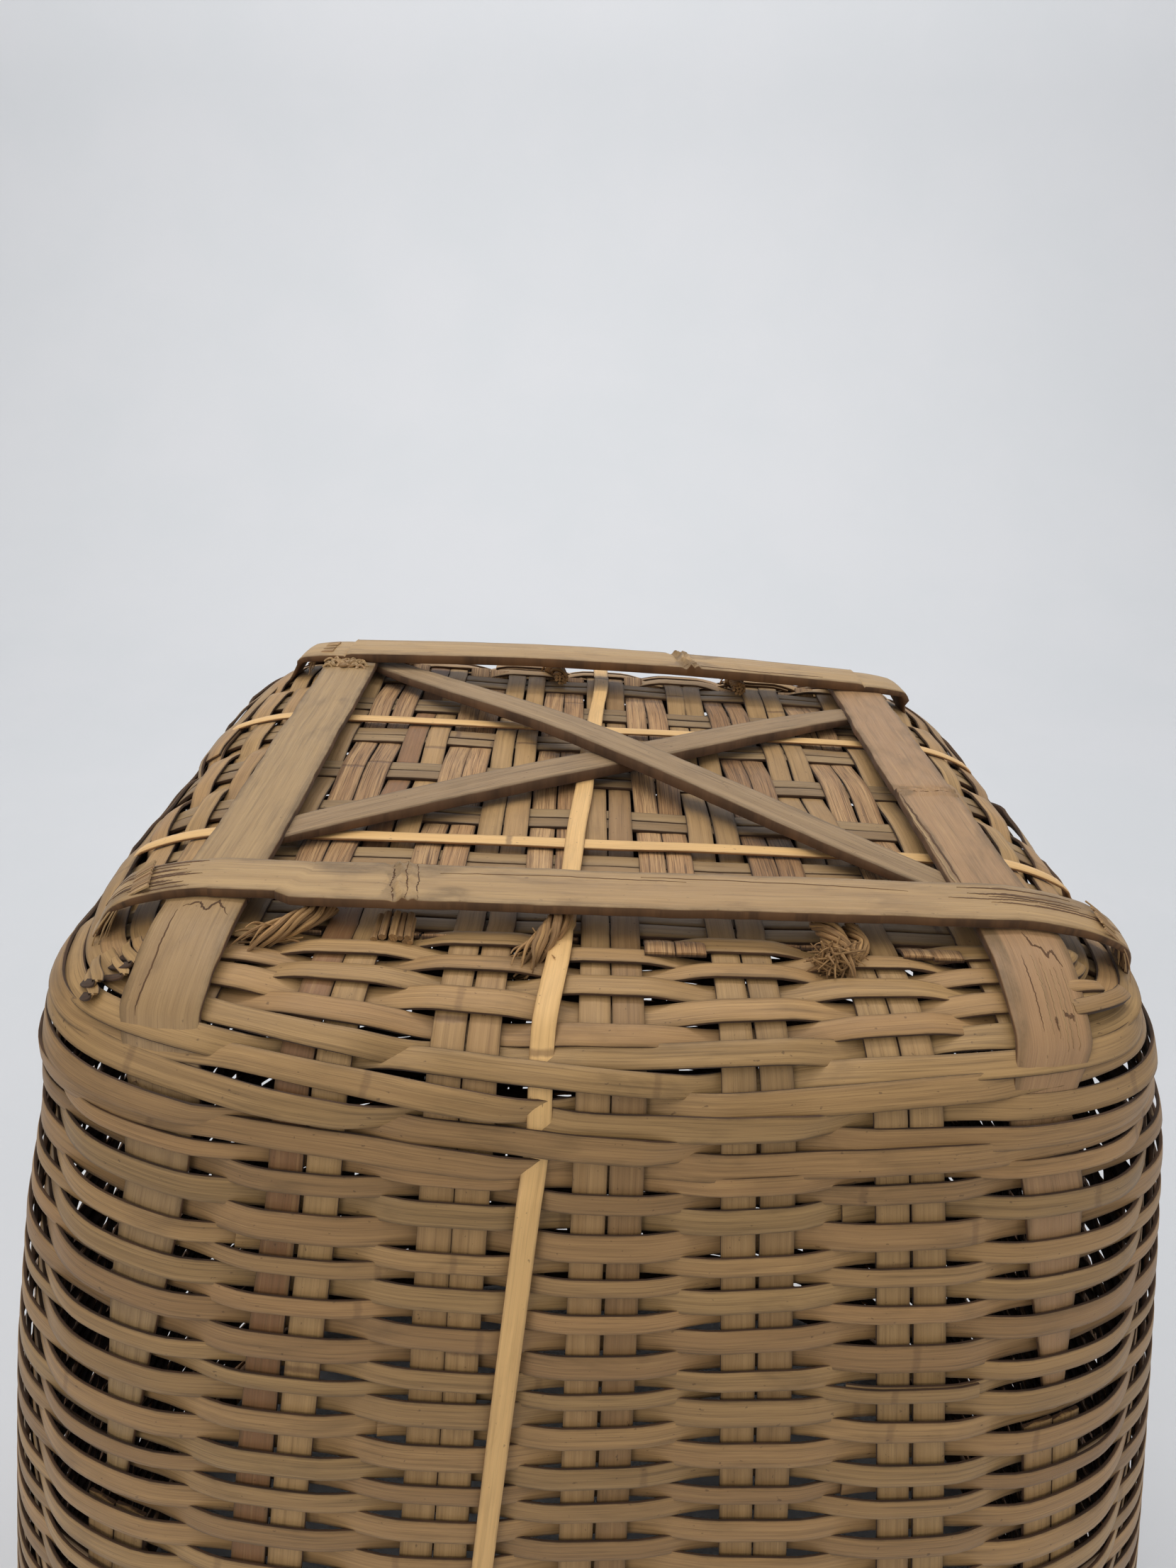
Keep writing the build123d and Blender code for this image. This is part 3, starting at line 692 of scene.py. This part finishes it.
def strap_end(x, rise, tip, dive, fold):
    """Line, width and depth of a strap's end, which breaks at a fold or dives among the wefts.
    The rows are places down the wall, how far out the inner face is, depth and share of width."""
    lift = rise - SIDE_STRAP_RISE
    if fold:
        spots = [0.0, 14.0, 24.0, fold, fold + 5, fold + 9, fold + 14, tip]
        inner = [rise, 6.2 + lift * 1.2, 7.4 + lift, 7.2 + lift * 0.8, 3.2, 0.0, -1.2, -1.2]
        depth = [3.4, 3.2, 2.8, 2.2, 1.6, 1.4, 1.2, 1.2]
        share = [1.0, 0.97, 0.9, 0.72, 0.6, 0.5, 0.5, 0.3]
    else:
        inside = dive + 18
        spots = [0.0, 14.0, 19.0, 24.0, 34.0, dive, dive + 9, inside, (inside + tip) / 2, tip]
        inner = [rise, 5.9, 5.4, 4.9, 4.0, 3.4, 1.0, -0.8, -0.8, -0.8]
        depth = [3.4, 3.0, 2.6, 2.2, 1.6, 1.6, 1.6, 1.6, 1.6, 1.6]
        share = [1.0, 1.0, 1.0, 0.99, 0.98, 0.97, 0.96, 0.9, 0.7, 0.25]
    lengths = np.arange(1.0, tip, 1.2)
    inner, depth = np.interp(lengths, spots, inner), np.interp(lengths, spots, depth)
    share = np.interp(lengths, spots, share)
    kernel = np.hanning(11)[1:-1] / np.hanning(11)[1:-1].sum()
    inner = np.convolve(np.pad(inner, 4, "edge"), kernel, "valid")
    at_shoulder = shoulder_angle(x, lengths)
    on_wall = stake_angle(3.0 if x > 0 else -3.0, lengths)
    angle = np.where(lengths < SHOULDER_LENGTH, at_shoulder, on_wall)
    points, sides = wall_line(angle, lengths, inner + depth / 2)
    turned = smooth(lengths / 30)[:, None]
    sides = unit(sides * turned + np.array([1.0, 0.0, 0.0]) * (1 - turned))
    return (points, sides), STRAP_WIDTH * share, depth


def stain(centre, across, long, wide, amount):
    return lambda at, a: amount * np.exp(-(((at - centre) / long) ** 2) - ((a - across) / wide) ** 2)


def crack(strips, spots, width=0.5, jagged=0.0, dark=True):
    """A thin line on a strap's top face through (along, across) spots. A dark line is painted shade in a
    split of the strap, drawn in the strip's dark side colour; a pale line keeps the strip's own colour.
    """
    spots = np.asarray(spots, float)
    share = np.linspace(0, 1, 40)
    where = np.linspace(0, 1, len(spots))
    at, across = (np.interp(share, where, spots[:, i]) for i in (0, 1))
    at = at + strips.rng.normal(0, 1, 40) * jagged + wander(strips.rng, share, 0.7, 0.25)
    across = np.clip(across + strips.rng.normal(0, 0.008, 40), -0.98, 0.98)
    points, sides = strips.top(at, across, 0.03)
    tangent = unit(np.gradient(points, axis=0))
    if np.abs((tangent * sides).sum(-1)).mean() > 0.7:
        sides = np.cross(sides, np.cross(sides, tangent))
    if (np.cross(sides, tangent) * (strips.top(at, across, 1.0)[0] - points)).sum() < 0:
        sides = -sides
    fade = np.clip(np.sin(pi * share) * 2, 0.15, 1)
    # with dark set, this line is painted shade in a split, in the strip's dark side colour
    strips.add(points, unit(sides), width * fade, 0.14, profile=3, bevel=0.03, dark=dark, tone=0.5, hue=0.5)


def fray(strips, at, reach, count, thick, down):
    """Loose fibres that come out of a strap's broken end and fold down."""
    droop = np.array([0, 0, down])
    for _ in range(count):
        across = strips.rng.uniform(-0.9, 0.9)
        start, aside = strips.top(np.array([at, at + np.sign(reach) * 5.0]), np.full(2, across), 0.1)
        root, ahead = start[0], unit((start[1] - start[0])[None])[0]
        far = ahead * (strips.rng.uniform(0.5, 1.0) * abs(reach))
        spread = aside[0] * (across + strips.rng.normal(0, 0.25)) * 4
        spots = [
            root - ahead * 6,
            root,
            root + far * 0.5 + spread * 0.3 - droop * 0.15,
            root + far * 0.8 + spread * 0.8 - droop * 0.6,
            root + far * 0.9 + spread - droop * strips.rng.uniform(0.8, 1.2),
        ]
        path = curve(spots, 16)
        strips.tube(path, thick * strips.rng.uniform(0.5, 1.2) * np.linspace(1.0, 0.35, 16), sides=5)


def curve(spots, count):
    """A smooth line through a few points."""
    spots = np.asarray(spots, float)
    where = lengths_along(spots)
    fine = np.linspace(0, where[-1], count)
    line = np.stack([np.interp(fine, where, spots[:, i]) for i in range(3)], -1)
    for _ in range(max(count // 7, 2)):
        line[1:-1] = (line[:-2] + 2 * line[1:-1] + line[2:]) / 4
    return line


def strap(seed, x, rise, tips, cross, rings, stains, hue, tone, bow=0.0, folds=(0, 0), dives=(44, 44),
          cut=None, thick=STRAP_THICKNESS):
    """A strap's strips, with top(along, across, up) for places on its top face. Along a strap, 0 is
    its middle: side straps count towards the back, end straps towards the left."""
    strips = Strips(seed)
    front, front_width, front_depth = strap_end(x, rise, tips[0], dives[0], folds[0])
    back, back_width, back_depth = strap_end(x, rise, tips[1], dives[1], folds[1])
    y = np.arange(-FLAT_HALF + 0.5, FLAT_HALF, 1.0)
    rough = noisy(seed, 9.0, 0.12)
    sway = rough(y * 0.4) * 2 * (1 - (y / FLAT_HALF) ** 4)
    arch = bow * np.cos(pi * y / 2 / FLAT_HALF)
    flat = flat_line(x + sway, y, rise + thick / 2 + arch)
    line = joined(tuple(part[::-1] for part in front), flat, mirrored(back))
    widths = np.concatenate([front_width[::-1], np.full(len(y), STRAP_WIDTH), back_width])
    depths = np.concatenate([front_depth[::-1], np.full(len(y), thick), back_depth])
    along = lengths_along(line[0])
    centre = along[len(front_width) + len(y) // 2]
    widths = widths * (1 + rough(along) * 0.1)
    points, sides = line
    if cut:
        where, amount = cut
        past = along - centre - where
        notch = amount * smooth(past / 3.0) * (1 - smooth((past - 40) / 30))
        widths, points = widths - notch, points + sides * notch[:, None] / 2
    reliefs = [ring(centre + spot, skew, height) for spot, skew, height in rings]
    marks = [stain(centre + spot[0], *spot[1:]) for spot in stains]
    marks += [stain(centre + spot + 2.5, 0.0, 1.6, 2.0, 0.9) for spot, _, _ in rings]
    grain = noisy(seed + 1, 2.2, 0.03)

    def relief(at, across):
        return sum(r(at, across) for r in reliefs) + grain(across * 12 + at * 0.004)

    def marked(at, across):
        return sum((mark(at, across) for mark in marks), 0 * across * at)

    points, sides = crosswise((points, sides)) if cross else (points, sides)
    face = strips.add(points, sides, widths, depths, crown=0.55, relief=relief, marks=marked, profile=15,
                      bevel=0.4, tone=tone, hue=hue)

    strips.top = lambda at, across, up: face(centre + at, across, up)
    return strips


strips = strap(300, -SIDE_STRAP_X, SIDE_STRAP_RISE, LEFT_TIPS, False, [(109.0, 1.5, 1.3)],
               [(104, 0, 5, 1, 0.8), (-150, 0.2, 9, 0.5, 0.35)], hue=0.0, tone=0.35, dives=(38, 44))
crack(strips, [(-141, -0.45), (-139, -0.1), (-142, 0.15), (-138, 0.4), (-144, 0.75)], 0.7, 0.4)
crack(strips, [(-143, -0.55), (-165, -0.52), (-178, -0.58)], 0.45)
for at, low, high in ((101, -0.9, 0.8), (104, -0.7, 0.9), (107, -0.9, 0.6)):
    for _ in range(9):
        a = strips.rng.uniform(low, high)
        points, _ = strips.top(at + strips.rng.normal(0, 1.4, 5), a + np.linspace(-0.18, 0.18, 5),
                               np.array([-0.3, 0.9, 1.5, 0.8, -0.3]))
        strips.tube(curve(points, 10), strips.rng.uniform(0.5, 1.0), sides=6)
crack(strips, [(103, -0.5), (102, 0.0), (103, 0.5)], 2.2, 0.5)
strips.piece("left_strap", "strap_bamboo", STRAP)

strips = strap(310, SIDE_STRAP_X, SIDE_STRAP_RISE, RIGHT_TIPS, False, [(-21.0, 0.5, 1.2)],
               [(-150, -0.8, 26, 0.2, 0.6), (-24, -0.3, 3, 1.0, 0.5), (-80, -0.9, 26, 0.25, 0.7)],
               hue=1.0, tone=0.45, dives=(42, 44))
jag = [(-141, 0.0), (-147, 0.08), (-148, 0.3), (-151, 0.36), (-149, 0.52), (-155, 0.66)]
crack(strips, jag, 0.7, 0.3)
for a in (-0.3, -0.05, 0.12, 0.3, 0.42, 0.6):
    start = strips.rng.uniform(-156, -150)
    crack(strips, [(start, a), (start - 14, a + 0.03), (start - 26, a + 0.02)], 0.3, 0.0, a < -0.2)
crack(strips, [(-23.4, -0.95), (-23, 0.0), (-22.6, 0.95)], 0.7, 0.1)
crack(strips, [(-172, 0.1), (-176, 0.12)], 0.7)
crack(strips, [(-171, 0.35), (-172, 0.6)], 0.6, 0.5)
crack(strips, [(-25, -0.93), (-60, -0.8), (-108, -0.72)], 0.8)
crack(strips, [(-35, -0.95), (-70, -0.9), (-112, -0.86)], 1.3, 0.0, False)
strips.piece("right_strap", "strap_bamboo", STRAP)

front_stains = [(60, 0.3, 12, 0.5, 0.75), (84, 0.4, 12, 0.4, 0.7), (50, -0.4, 9, 0.4, 0.5),
                (150, 0, 12, 1, 0.8), (-148, 0.3, 16, 0.5, 0.8), (-125, 0.1, 22, 0.2, 0.6),
                (110, -0.2, 20, 0.2, 0.5)]
strips = strap(320, -END_STRAP_Y, END_STRAP_RISE, END_TIPS, True, [(67.0, 1.6, 1.2)], front_stains,
               hue=0.1, tone=0.7, folds=(34, 28), cut=(97.0, 4.2))
crack(strips, [(55, 0.42), (10, 0.5), (-25, 0.4)], 0.45)
for at, width in ((65.0, 0.6), (69.6, 0.8), (61.5, 0.4)):
    crack(strips, [(at - 1.6, -0.97), (at, 0.0), (at + 1.2, 0.95)], width, 0.12)
crack(strips, [(-10, 0.62), (-60, 0.5), (-96, 0.3)], 0.4)
for _ in range(9):
    a, start, width = strips.rng.uniform((-0.2, -140, 0.4), (0.75, -105, 0.9))
    crack(strips, [(start, a), (start - 15, a - 0.03), (start - 28, a)], width)
for _ in range(14):
    a, start, width = strips.rng.uniform((-0.9, 128, 0.4), (0.9, 146, 0.9))
    crack(strips, [(start, a), (start + 18, a * 1.05)], width)
fray(strips, 152, 14, 46, 0.5, 11.0)
fray(strips, -160, -9, 26, 0.45, 8.0)
strips.piece("front_strap", "strap_bamboo", STRAP)

strips = strap(330, END_STRAP_Y, END_STRAP_RISE, END_TIPS, True, [(-40.0, 3.0, 2.0)],
               [(-48, 0, 12, 1, 0.7), (100, 0, 40, 0.3, 0.3)], hue=0.3, tone=0.75, bow=3.6,
               folds=(16, 22), thick=4.6)
crack(strips, [(-40, -0.7), (-80, -0.8), (-110, -0.7)], 0.9)
fray(strips, 142, 8, 22, 0.45, 9.0)
strips.piece("back_strap", "strap_bamboo", STRAP)


# ---- braces and ties ----
BRACE_END_WIDTH, BRACE_MORE_WIDTH, BRACE_END_DEPTH, BRACE_MORE_DEPTH = 12.0, 5.0, 2.0, 3.0
LOWER_RISE, UPPER_RISE = 4.8, 10.0


def brace(name, seed, ends, middle_rise):
    """A thick slat between two corners of the base, thinner at its ends."""
    strips = Strips(seed)
    start, end = (np.array([*spot, 0.0]) for spot in ends)
    share = np.linspace(0, 1, 90)
    body = np.sin(pi * share) ** 0.4
    arch = (1 - np.cos(2 * pi * share)) / 2
    depth = BRACE_END_DEPTH + BRACE_MORE_DEPTH * body
    low = LOWER_RISE + (middle_rise - LOWER_RISE) * arch
    points = start + (end - start) * share[:, None]
    points[:, 2] = WEAVE_TOP + low + depth / 2
    along = unit((end - start)[None])[0]
    side = np.cross(along, [0, 0, 1.0])
    bow = wander(strips.rng, share, 1.6, 0.8)
    points = points + side * (bow * np.sin(pi * share))[:, None]
    rough, grain = noisy(seed, 6.0, 0.25), noisy(seed + 1, 2.0, 0.04)
    widths = BRACE_END_WIDTH + BRACE_MORE_WIDTH * body + rough(share * 200)

    def relief(at, across):
        return grain(across * 9 + at * 0.006)

    strips.add(points, np.broadcast_to(side, points.shape), widths, depth, crown=0.15, relief=relief,
               profile=9, bevel=0.5, tone=0.6)
    strips.piece(name, "brace_bamboo", BRACE)


brace("lower_brace", 340, LOWER_BRACE_ENDS, LOWER_RISE)
brace("upper_brace", 345, UPPER_BRACE_ENDS, UPPER_RISE)

TIE_WIDTH, TIE_THICKNESS = 7.1, 0.9


def tie_end(rng, x, drift):
    """A tie's way down the wall: it dives under the wale and comes out over the lower wefts."""
    lengths = lengths_down(2.0, RIM_LENGTH - HOOP_HEIGHT - 4)
    below = np.maximum(lengths - SHOULDER_LENGTH, 0)
    angle = shoulder_angle(x, lengths)
    angle = angle + (drift * below + wander(rng, lengths, 700, 0.3)) / around(angle, lengths)[1]
    angle = angle + 56 * drift * smooth((lengths - 5) / 45) / around(angle, lengths)[1]
    under = smooth((lengths - 38) / 10) * smooth((92 - lengths) / 10)
    out = 3.6 - 2.6 * under
    return wall_line(angle, lengths, out)


def tie(name, seed, back_x, front_x, rise, drift, cross):
    """A pale thin strip over the base and down both walls."""
    strips = Strips(seed)
    y = np.arange(-FLAT_HALF, FLAT_HALF, 3.0)
    x = (front_x + back_x) / 2 + (back_x - front_x) / 2 * y / FLAT_HALF + wander(strips.rng, y, 260, 0.5)
    front = tuple(part[::-1] for part in tie_end(strips.rng, front_x, drift))
    line = joined(front, flat_line(x, y, rise + 0.4), mirrored(tie_end(strips.rng, back_x, 0)))
    points, sides = crosswise(line) if cross else line
    widths = TIE_WIDTH + wander(strips.rng, np.arange(len(points)), 60, 0.25)
    strips.add(points, sides, widths, TIE_THICKNESS, crown=0.2, tone=0.8, hue=0.2)
    strips.piece(name, "tie_bamboo", TIE)


tie("long_tie", 350, *LONG_TIE_X, 3.8, TIE_DRIFT, False)
for name, y in zip(("front_cross_tie", "back_cross_tie"), CROSS_TIE_YS):
    tie(name, 355, y, y, 2.9, 0, True)


# ---- small pieces at the edge of the base ----
def rope(strips, spots, radius, brush=0.8, strands=15):
    """A thick twisted end of fibre that opens into a brush."""
    path = curve(spots, 34)
    tangent = unit(np.gradient(path, axis=0))
    side = unit(np.cross(tangent, [0.2, 0.1, 1.0]))
    up = np.cross(side, tangent)
    share = np.linspace(0, 1, len(path))
    for i in range(strands):
        layer = 1.0 if i % 3 else 0.45
        turn = 2 * pi * (share * 0.9 + i / strands) + strips.rng.uniform(0, 0.5)
        open_end = smooth((share - 0.68) / 0.32)
        reach = radius * layer * (1 + brush * open_end * strips.rng.uniform(0.2, 1.3))
        line = path + (side * np.cos(turn)[:, None] + up * np.sin(turn)[:, None]) * reach[:, None]
        line = line + tangent * (open_end * strips.rng.uniform(-3.0, 3.5))[:, None]
        strips.tube(line, radius * 0.3 * (1 - 0.72 * open_end), sides=6)


def loose(strips, middle, size, count):
    """Short tangled fibres round a knot."""
    for _ in range(count):
        spots = np.array(middle) + strips.rng.normal(0, 1, (4, 3)) * size
        strips.tube(curve(spots, 14), strips.rng.uniform(0.15, 0.4), sides=5)


def bundle(strips, x, y, z):
    """A short flat bundle of cut fibres."""
    for _ in range(11):
        aside, height = strips.rng.uniform(-6, 6), z + strips.rng.uniform(-1.6, 1.6)
        spots = [(x + aside, y + 12, height + 1.5), (x + aside * 1.03, y + 5, height + 1),
                 (x + aside * 1.08, y, height)]
        strips.tube(curve(spots, 8), strips.rng.uniform(0.9, 1.3), sides=6)


strips = Strips(399)
rope(strips, [(-90, -122, 561), (-95, -133, 562.5), (-104, -138, 560), (-113, -141, 557.5)], 2.9)
rope(strips, [(-15, -120, 562), (-17, -132, 562.5), (-22, -140, 559.5), (-29, -146, 555)], 3.0)
rope(strips, [(66, -120, 562), (69, -132, 562), (72, -140, 559), (68, -146, 555.5)], 3.0, 1.2)
rope(strips, [(76, -126, 561), (78, -136, 560), (73, -141, 558), (64, -141, 558)], 2.3, 1.4, 12)
loose(strips, (69, -141, 558.5), (4.5, 2.5, 3.0), 60)
loose(strips, (-22, -140, 559), (2.5, 2.5, 2.0), 18)
loose(strips, (-103, -138, 559), (4.0, 1.5, 1.5), 14)
bundle(strips, -68.0, -138.0, 558.0)
strips.piece("front_fibre_knots", "bamboo_fibre", FIBRE, "twisted")

strips = Strips(401)
for x in (-104.0, -22.0, 69.0):
    lean = strips.rng.uniform(-8, 8)
    spots = [(0.0, 120, 561), (0.3, 132, 562), (0.7, 139, 560), (1.0, 144, 557)]
    rope(strips, [(x + lean * share, y, z) for share, y, z in spots], 2.8)
strips.piece("back_fibre_knots", "bamboo_fibre", FIBRE, "twisted")


def corner_strip(strips, spin, offset, length, out, width, depth, **shape):
    """A strip at a corner of the shoulder, with offsets round the basket from that corner."""
    angle = pi / 4 + offset / around(pi / 4, 30.0)[1]
    points = surface(angle, length, out)
    strips.add(points @ spin.T, down_wall(angle, length, out) @ spin.T, width, depth, **shape)


def bent_loops(strips, spin, rng):
    """Weft ends bent round the corner in a stack of open loops."""
    for i in range(9):
        t = np.linspace(0, 1, 34)
        length = 8.0 + 4.1 * i + 8.0 * (t - 0.5) + rng.uniform(-1, 1)
        offset = -15.0 + 18.0 * np.sin(pi * t) + rng.uniform(-2.5, 2.5) + 7 * t
        out = -2.4 + 7.6 * np.sin(pi * t) ** 0.7 + 0.5 * (i % 2)
        width = rng.uniform(2.4, 3.6) * (0.3 + 0.7 * np.sin(pi * t) ** 0.5)
        corner_strip(strips, spin, offset, length, out, width, 0.9)


def cut_ends(strips, spin, rng):
    """Thick weft ends wrapped over the corner and cut short."""
    for i in range(8):
        t = np.linspace(0, 1, 18)
        length = 9.0 + 3.6 * i + rng.uniform(-1, 1) + rng.uniform(-3, 5) * t
        offset = -16.0 + rng.uniform(-2, 2) + (17.0 + rng.uniform(-4, 6)) * t
        out = 3.0 + 1.6 * (i % 2) + 1.5 * np.sin(pi * t) + rng.uniform(0, 1)
        width, depth = rng.uniform(4.0, 6.0), rng.uniform(1.6, 2.4)
        corner_strip(strips, spin, offset, length, out, width, depth, crown=0.3, bevel=0.3)


for quarter, corner in enumerate(("front_right", "back_right", "back_left", "front_left")):
    strips = Strips(410 + quarter)
    spin = np.array(Matrix.Rotation(quarter * pi / 2, 3, "Z"))
    make = cut_ends if quarter % 2 == 0 else bent_loops
    make(strips, spin, strips.rng)
    strips.piece(f"{corner}_corner_binding", "weft_bamboo", WEFT)


# ---- rim ----
def hoop(name, seed, middle):
    strips = Strips(seed)
    number = round_numbers(0.0, float(STAKES))
    length = RIM_LENGTH - HOOP_HEIGHT / 2
    angle = angle_of(number, length)
    points = surface(angle, length, middle)
    rough, grain = noisy(seed, 12.0, 0.1), noisy(seed + 1, 0.3, 0.05)
    strips.add(points, down_wall(angle, length, middle), HOOP_HEIGHT, HOOP_THICKNESS, crown=0.3, profile=11,
               relief=lambda at, across: grain(across * 11 + at * 0.003) + rough(at))
    strips.piece(name, "rim_bamboo", RIM)


HOOP_MIDDLE = STAKE_THICKNESS / 2 + 0.15 + HOOP_THICKNESS / 2
hoop("outer_rim_hoop", 420, HOOP_MIDDLE)
hoop("inner_rim_hoop", 422, -HOOP_MIDDLE)


LASHING_WIDTH, LASHING_THICKNESS = 5.0, 0.9
LASHING_ROUNDNESS = 0.45      # 1 would make the loops oval, 0 square


def lashing():
    """A loop round both hoops between every two stakes, each a little askew."""
    strips = Strips(430)
    turn = np.linspace(0, 2 * pi, 49)
    wide = np.sign(np.cos(turn)) * np.abs(np.cos(turn)) ** LASHING_ROUNDNESS
    tall = np.sign(np.sin(turn)) * np.abs(np.sin(turn)) ** LASHING_ROUNDNESS
    for number in range(STAKES):
        skew = strips.rng.uniform(-1.2, 1.2)
        length = RIM_LENGTH - HOOP_HEIGHT / 2 - tall * (HOOP_HEIGHT / 2 + 1.0)
        base = float(angle_of(np.array([number + 0.5]), RIM_LENGTH)[0])
        angle = base + skew * tall / around(base, RIM_LENGTH)[1] * 2
        points = surface(angle, np.minimum(length, RIM_LENGTH + 1.0), wide * (HOOP_MIDDLE + 2.2))
        sides = np.broadcast_to(around(base, RIM_LENGTH)[0], points.shape)
        strips.add(points, sides, LASHING_WIDTH, LASHING_THICKNESS, crown=0.15)
    strips.piece("rim_lashing", "lashing_bamboo", LASHING)


lashing()


# ---- floor, light and camera ----
def backdrop():
    """A pale floor that curves up into a wall behind."""
    turn = np.linspace(0, pi / 2, 24)
    profile = [(-6.0, 0.0)] + [(1.6 + 1.2 * sin(t), 1.2 - 1.2 * cos(t)) for t in turn] + [(2.8, 7.0)]
    verts = [(x, y, z) for y, z in profile for x in (-7.0, 7.0)]
    faces = [(2 * i, 2 * i + 1, 2 * i + 3, 2 * i + 2) for i in range(len(profile) - 1)]
    mesh = bpy.data.meshes.new("backdrop")
    mesh.from_pydata(verts, [], faces)
    mesh.shade_smooth()
    g = Graph("pale_floor")
    where = g.node("ShaderNodeTexCoord").outputs["Object"]
    tone = g.noise(where, (3.0, 3.0, 3.0), 5.0)
    base = g.mix(g.fade(tone, 0.3, 0.7), tint(208, 210, 213), tint(211, 212, 215))
    grain = g.noise(where, (160.0, 160.0, 160.0), 3.0)
    bump = g.node("ShaderNodeBump", Strength=0.1, Distance=0.001, Height=grain).outputs[0]
    mesh.materials.append(g.finish(Base_Color=base, Roughness=0.7, Normal=bump))
    floor = placed("backdrop", mesh)


def area(name, place, target, size, power, colour):
    lamp = bpy.data.lights.new(name, "AREA")
    lamp.shape, lamp.size, lamp.size_y = "RECTANGLE", size[0], size[1]
    lamp.energy, lamp.color = power, colour
    holder = placed(name, lamp)
    holder.location = place
    holder.rotation_euler = (Vector(target) - Vector(place)).to_track_quat("-Z", "Y").to_euler()


backdrop()
area("overhead", (-0.3, -0.3, 2.9), (0, 0, 0.4), (2.6, 2.2), 27.0, (1.0, 0.99, 0.97))
area("wall_wash", (0.0, 1.0, 3.4), (0, 2.8, 1.2), (4.0, 1.0), 78.0, (1.0, 1.0, 0.99))
area("front_left", (-2.0, -2.6, 1.7), (0, 0, 0.35), (2.0, 1.8), 26.0, (1.0, 0.98, 0.96))
area("right_fill", (2.4, -1.4, 1.4), (0, 0, 0.35), (1.8, 1.8), 15.0, (0.97, 0.98, 1.0))

world = bpy.data.worlds.new("studio")
world.use_nodes = True
background = world.node_tree.nodes["Background"]
background.inputs[0].default_value = (0.86, 0.88, 0.92, 1.0)
background.inputs[1].default_value = 0.30
bpy.context.scene.world = world
bpy.context.scene.view_settings.view_transform = "Standard"

CAMERA_PLACE, LENS, SENSOR = (0.0031, -0.4533, 0.750), 26.949548, 36.0
pitch, roll = radians(22.98), radians(0.727)
right, ahead = Vector((1, 0, 0)), Vector((0, cos(pitch), -sin(pitch)))
upward = Vector((0, sin(pitch), cos(pitch)))
axis_x = right * cos(roll) + upward * sin(roll)
axis_y = upward * cos(roll) - right * sin(roll)
camera_data = bpy.data.cameras.new("camera")
camera_data.sensor_fit = "AUTO"
camera_data.sensor_width = SENSOR
camera_data.lens = LENS
camera_data.clip_start = 0.01
camera = placed("camera", camera_data)
turned = Matrix((axis_x, axis_y, -ahead)).transposed()
camera.matrix_world = Matrix.Translation(CAMERA_PLACE) @ turned.to_4x4()
bpy.context.scene.camera = camera
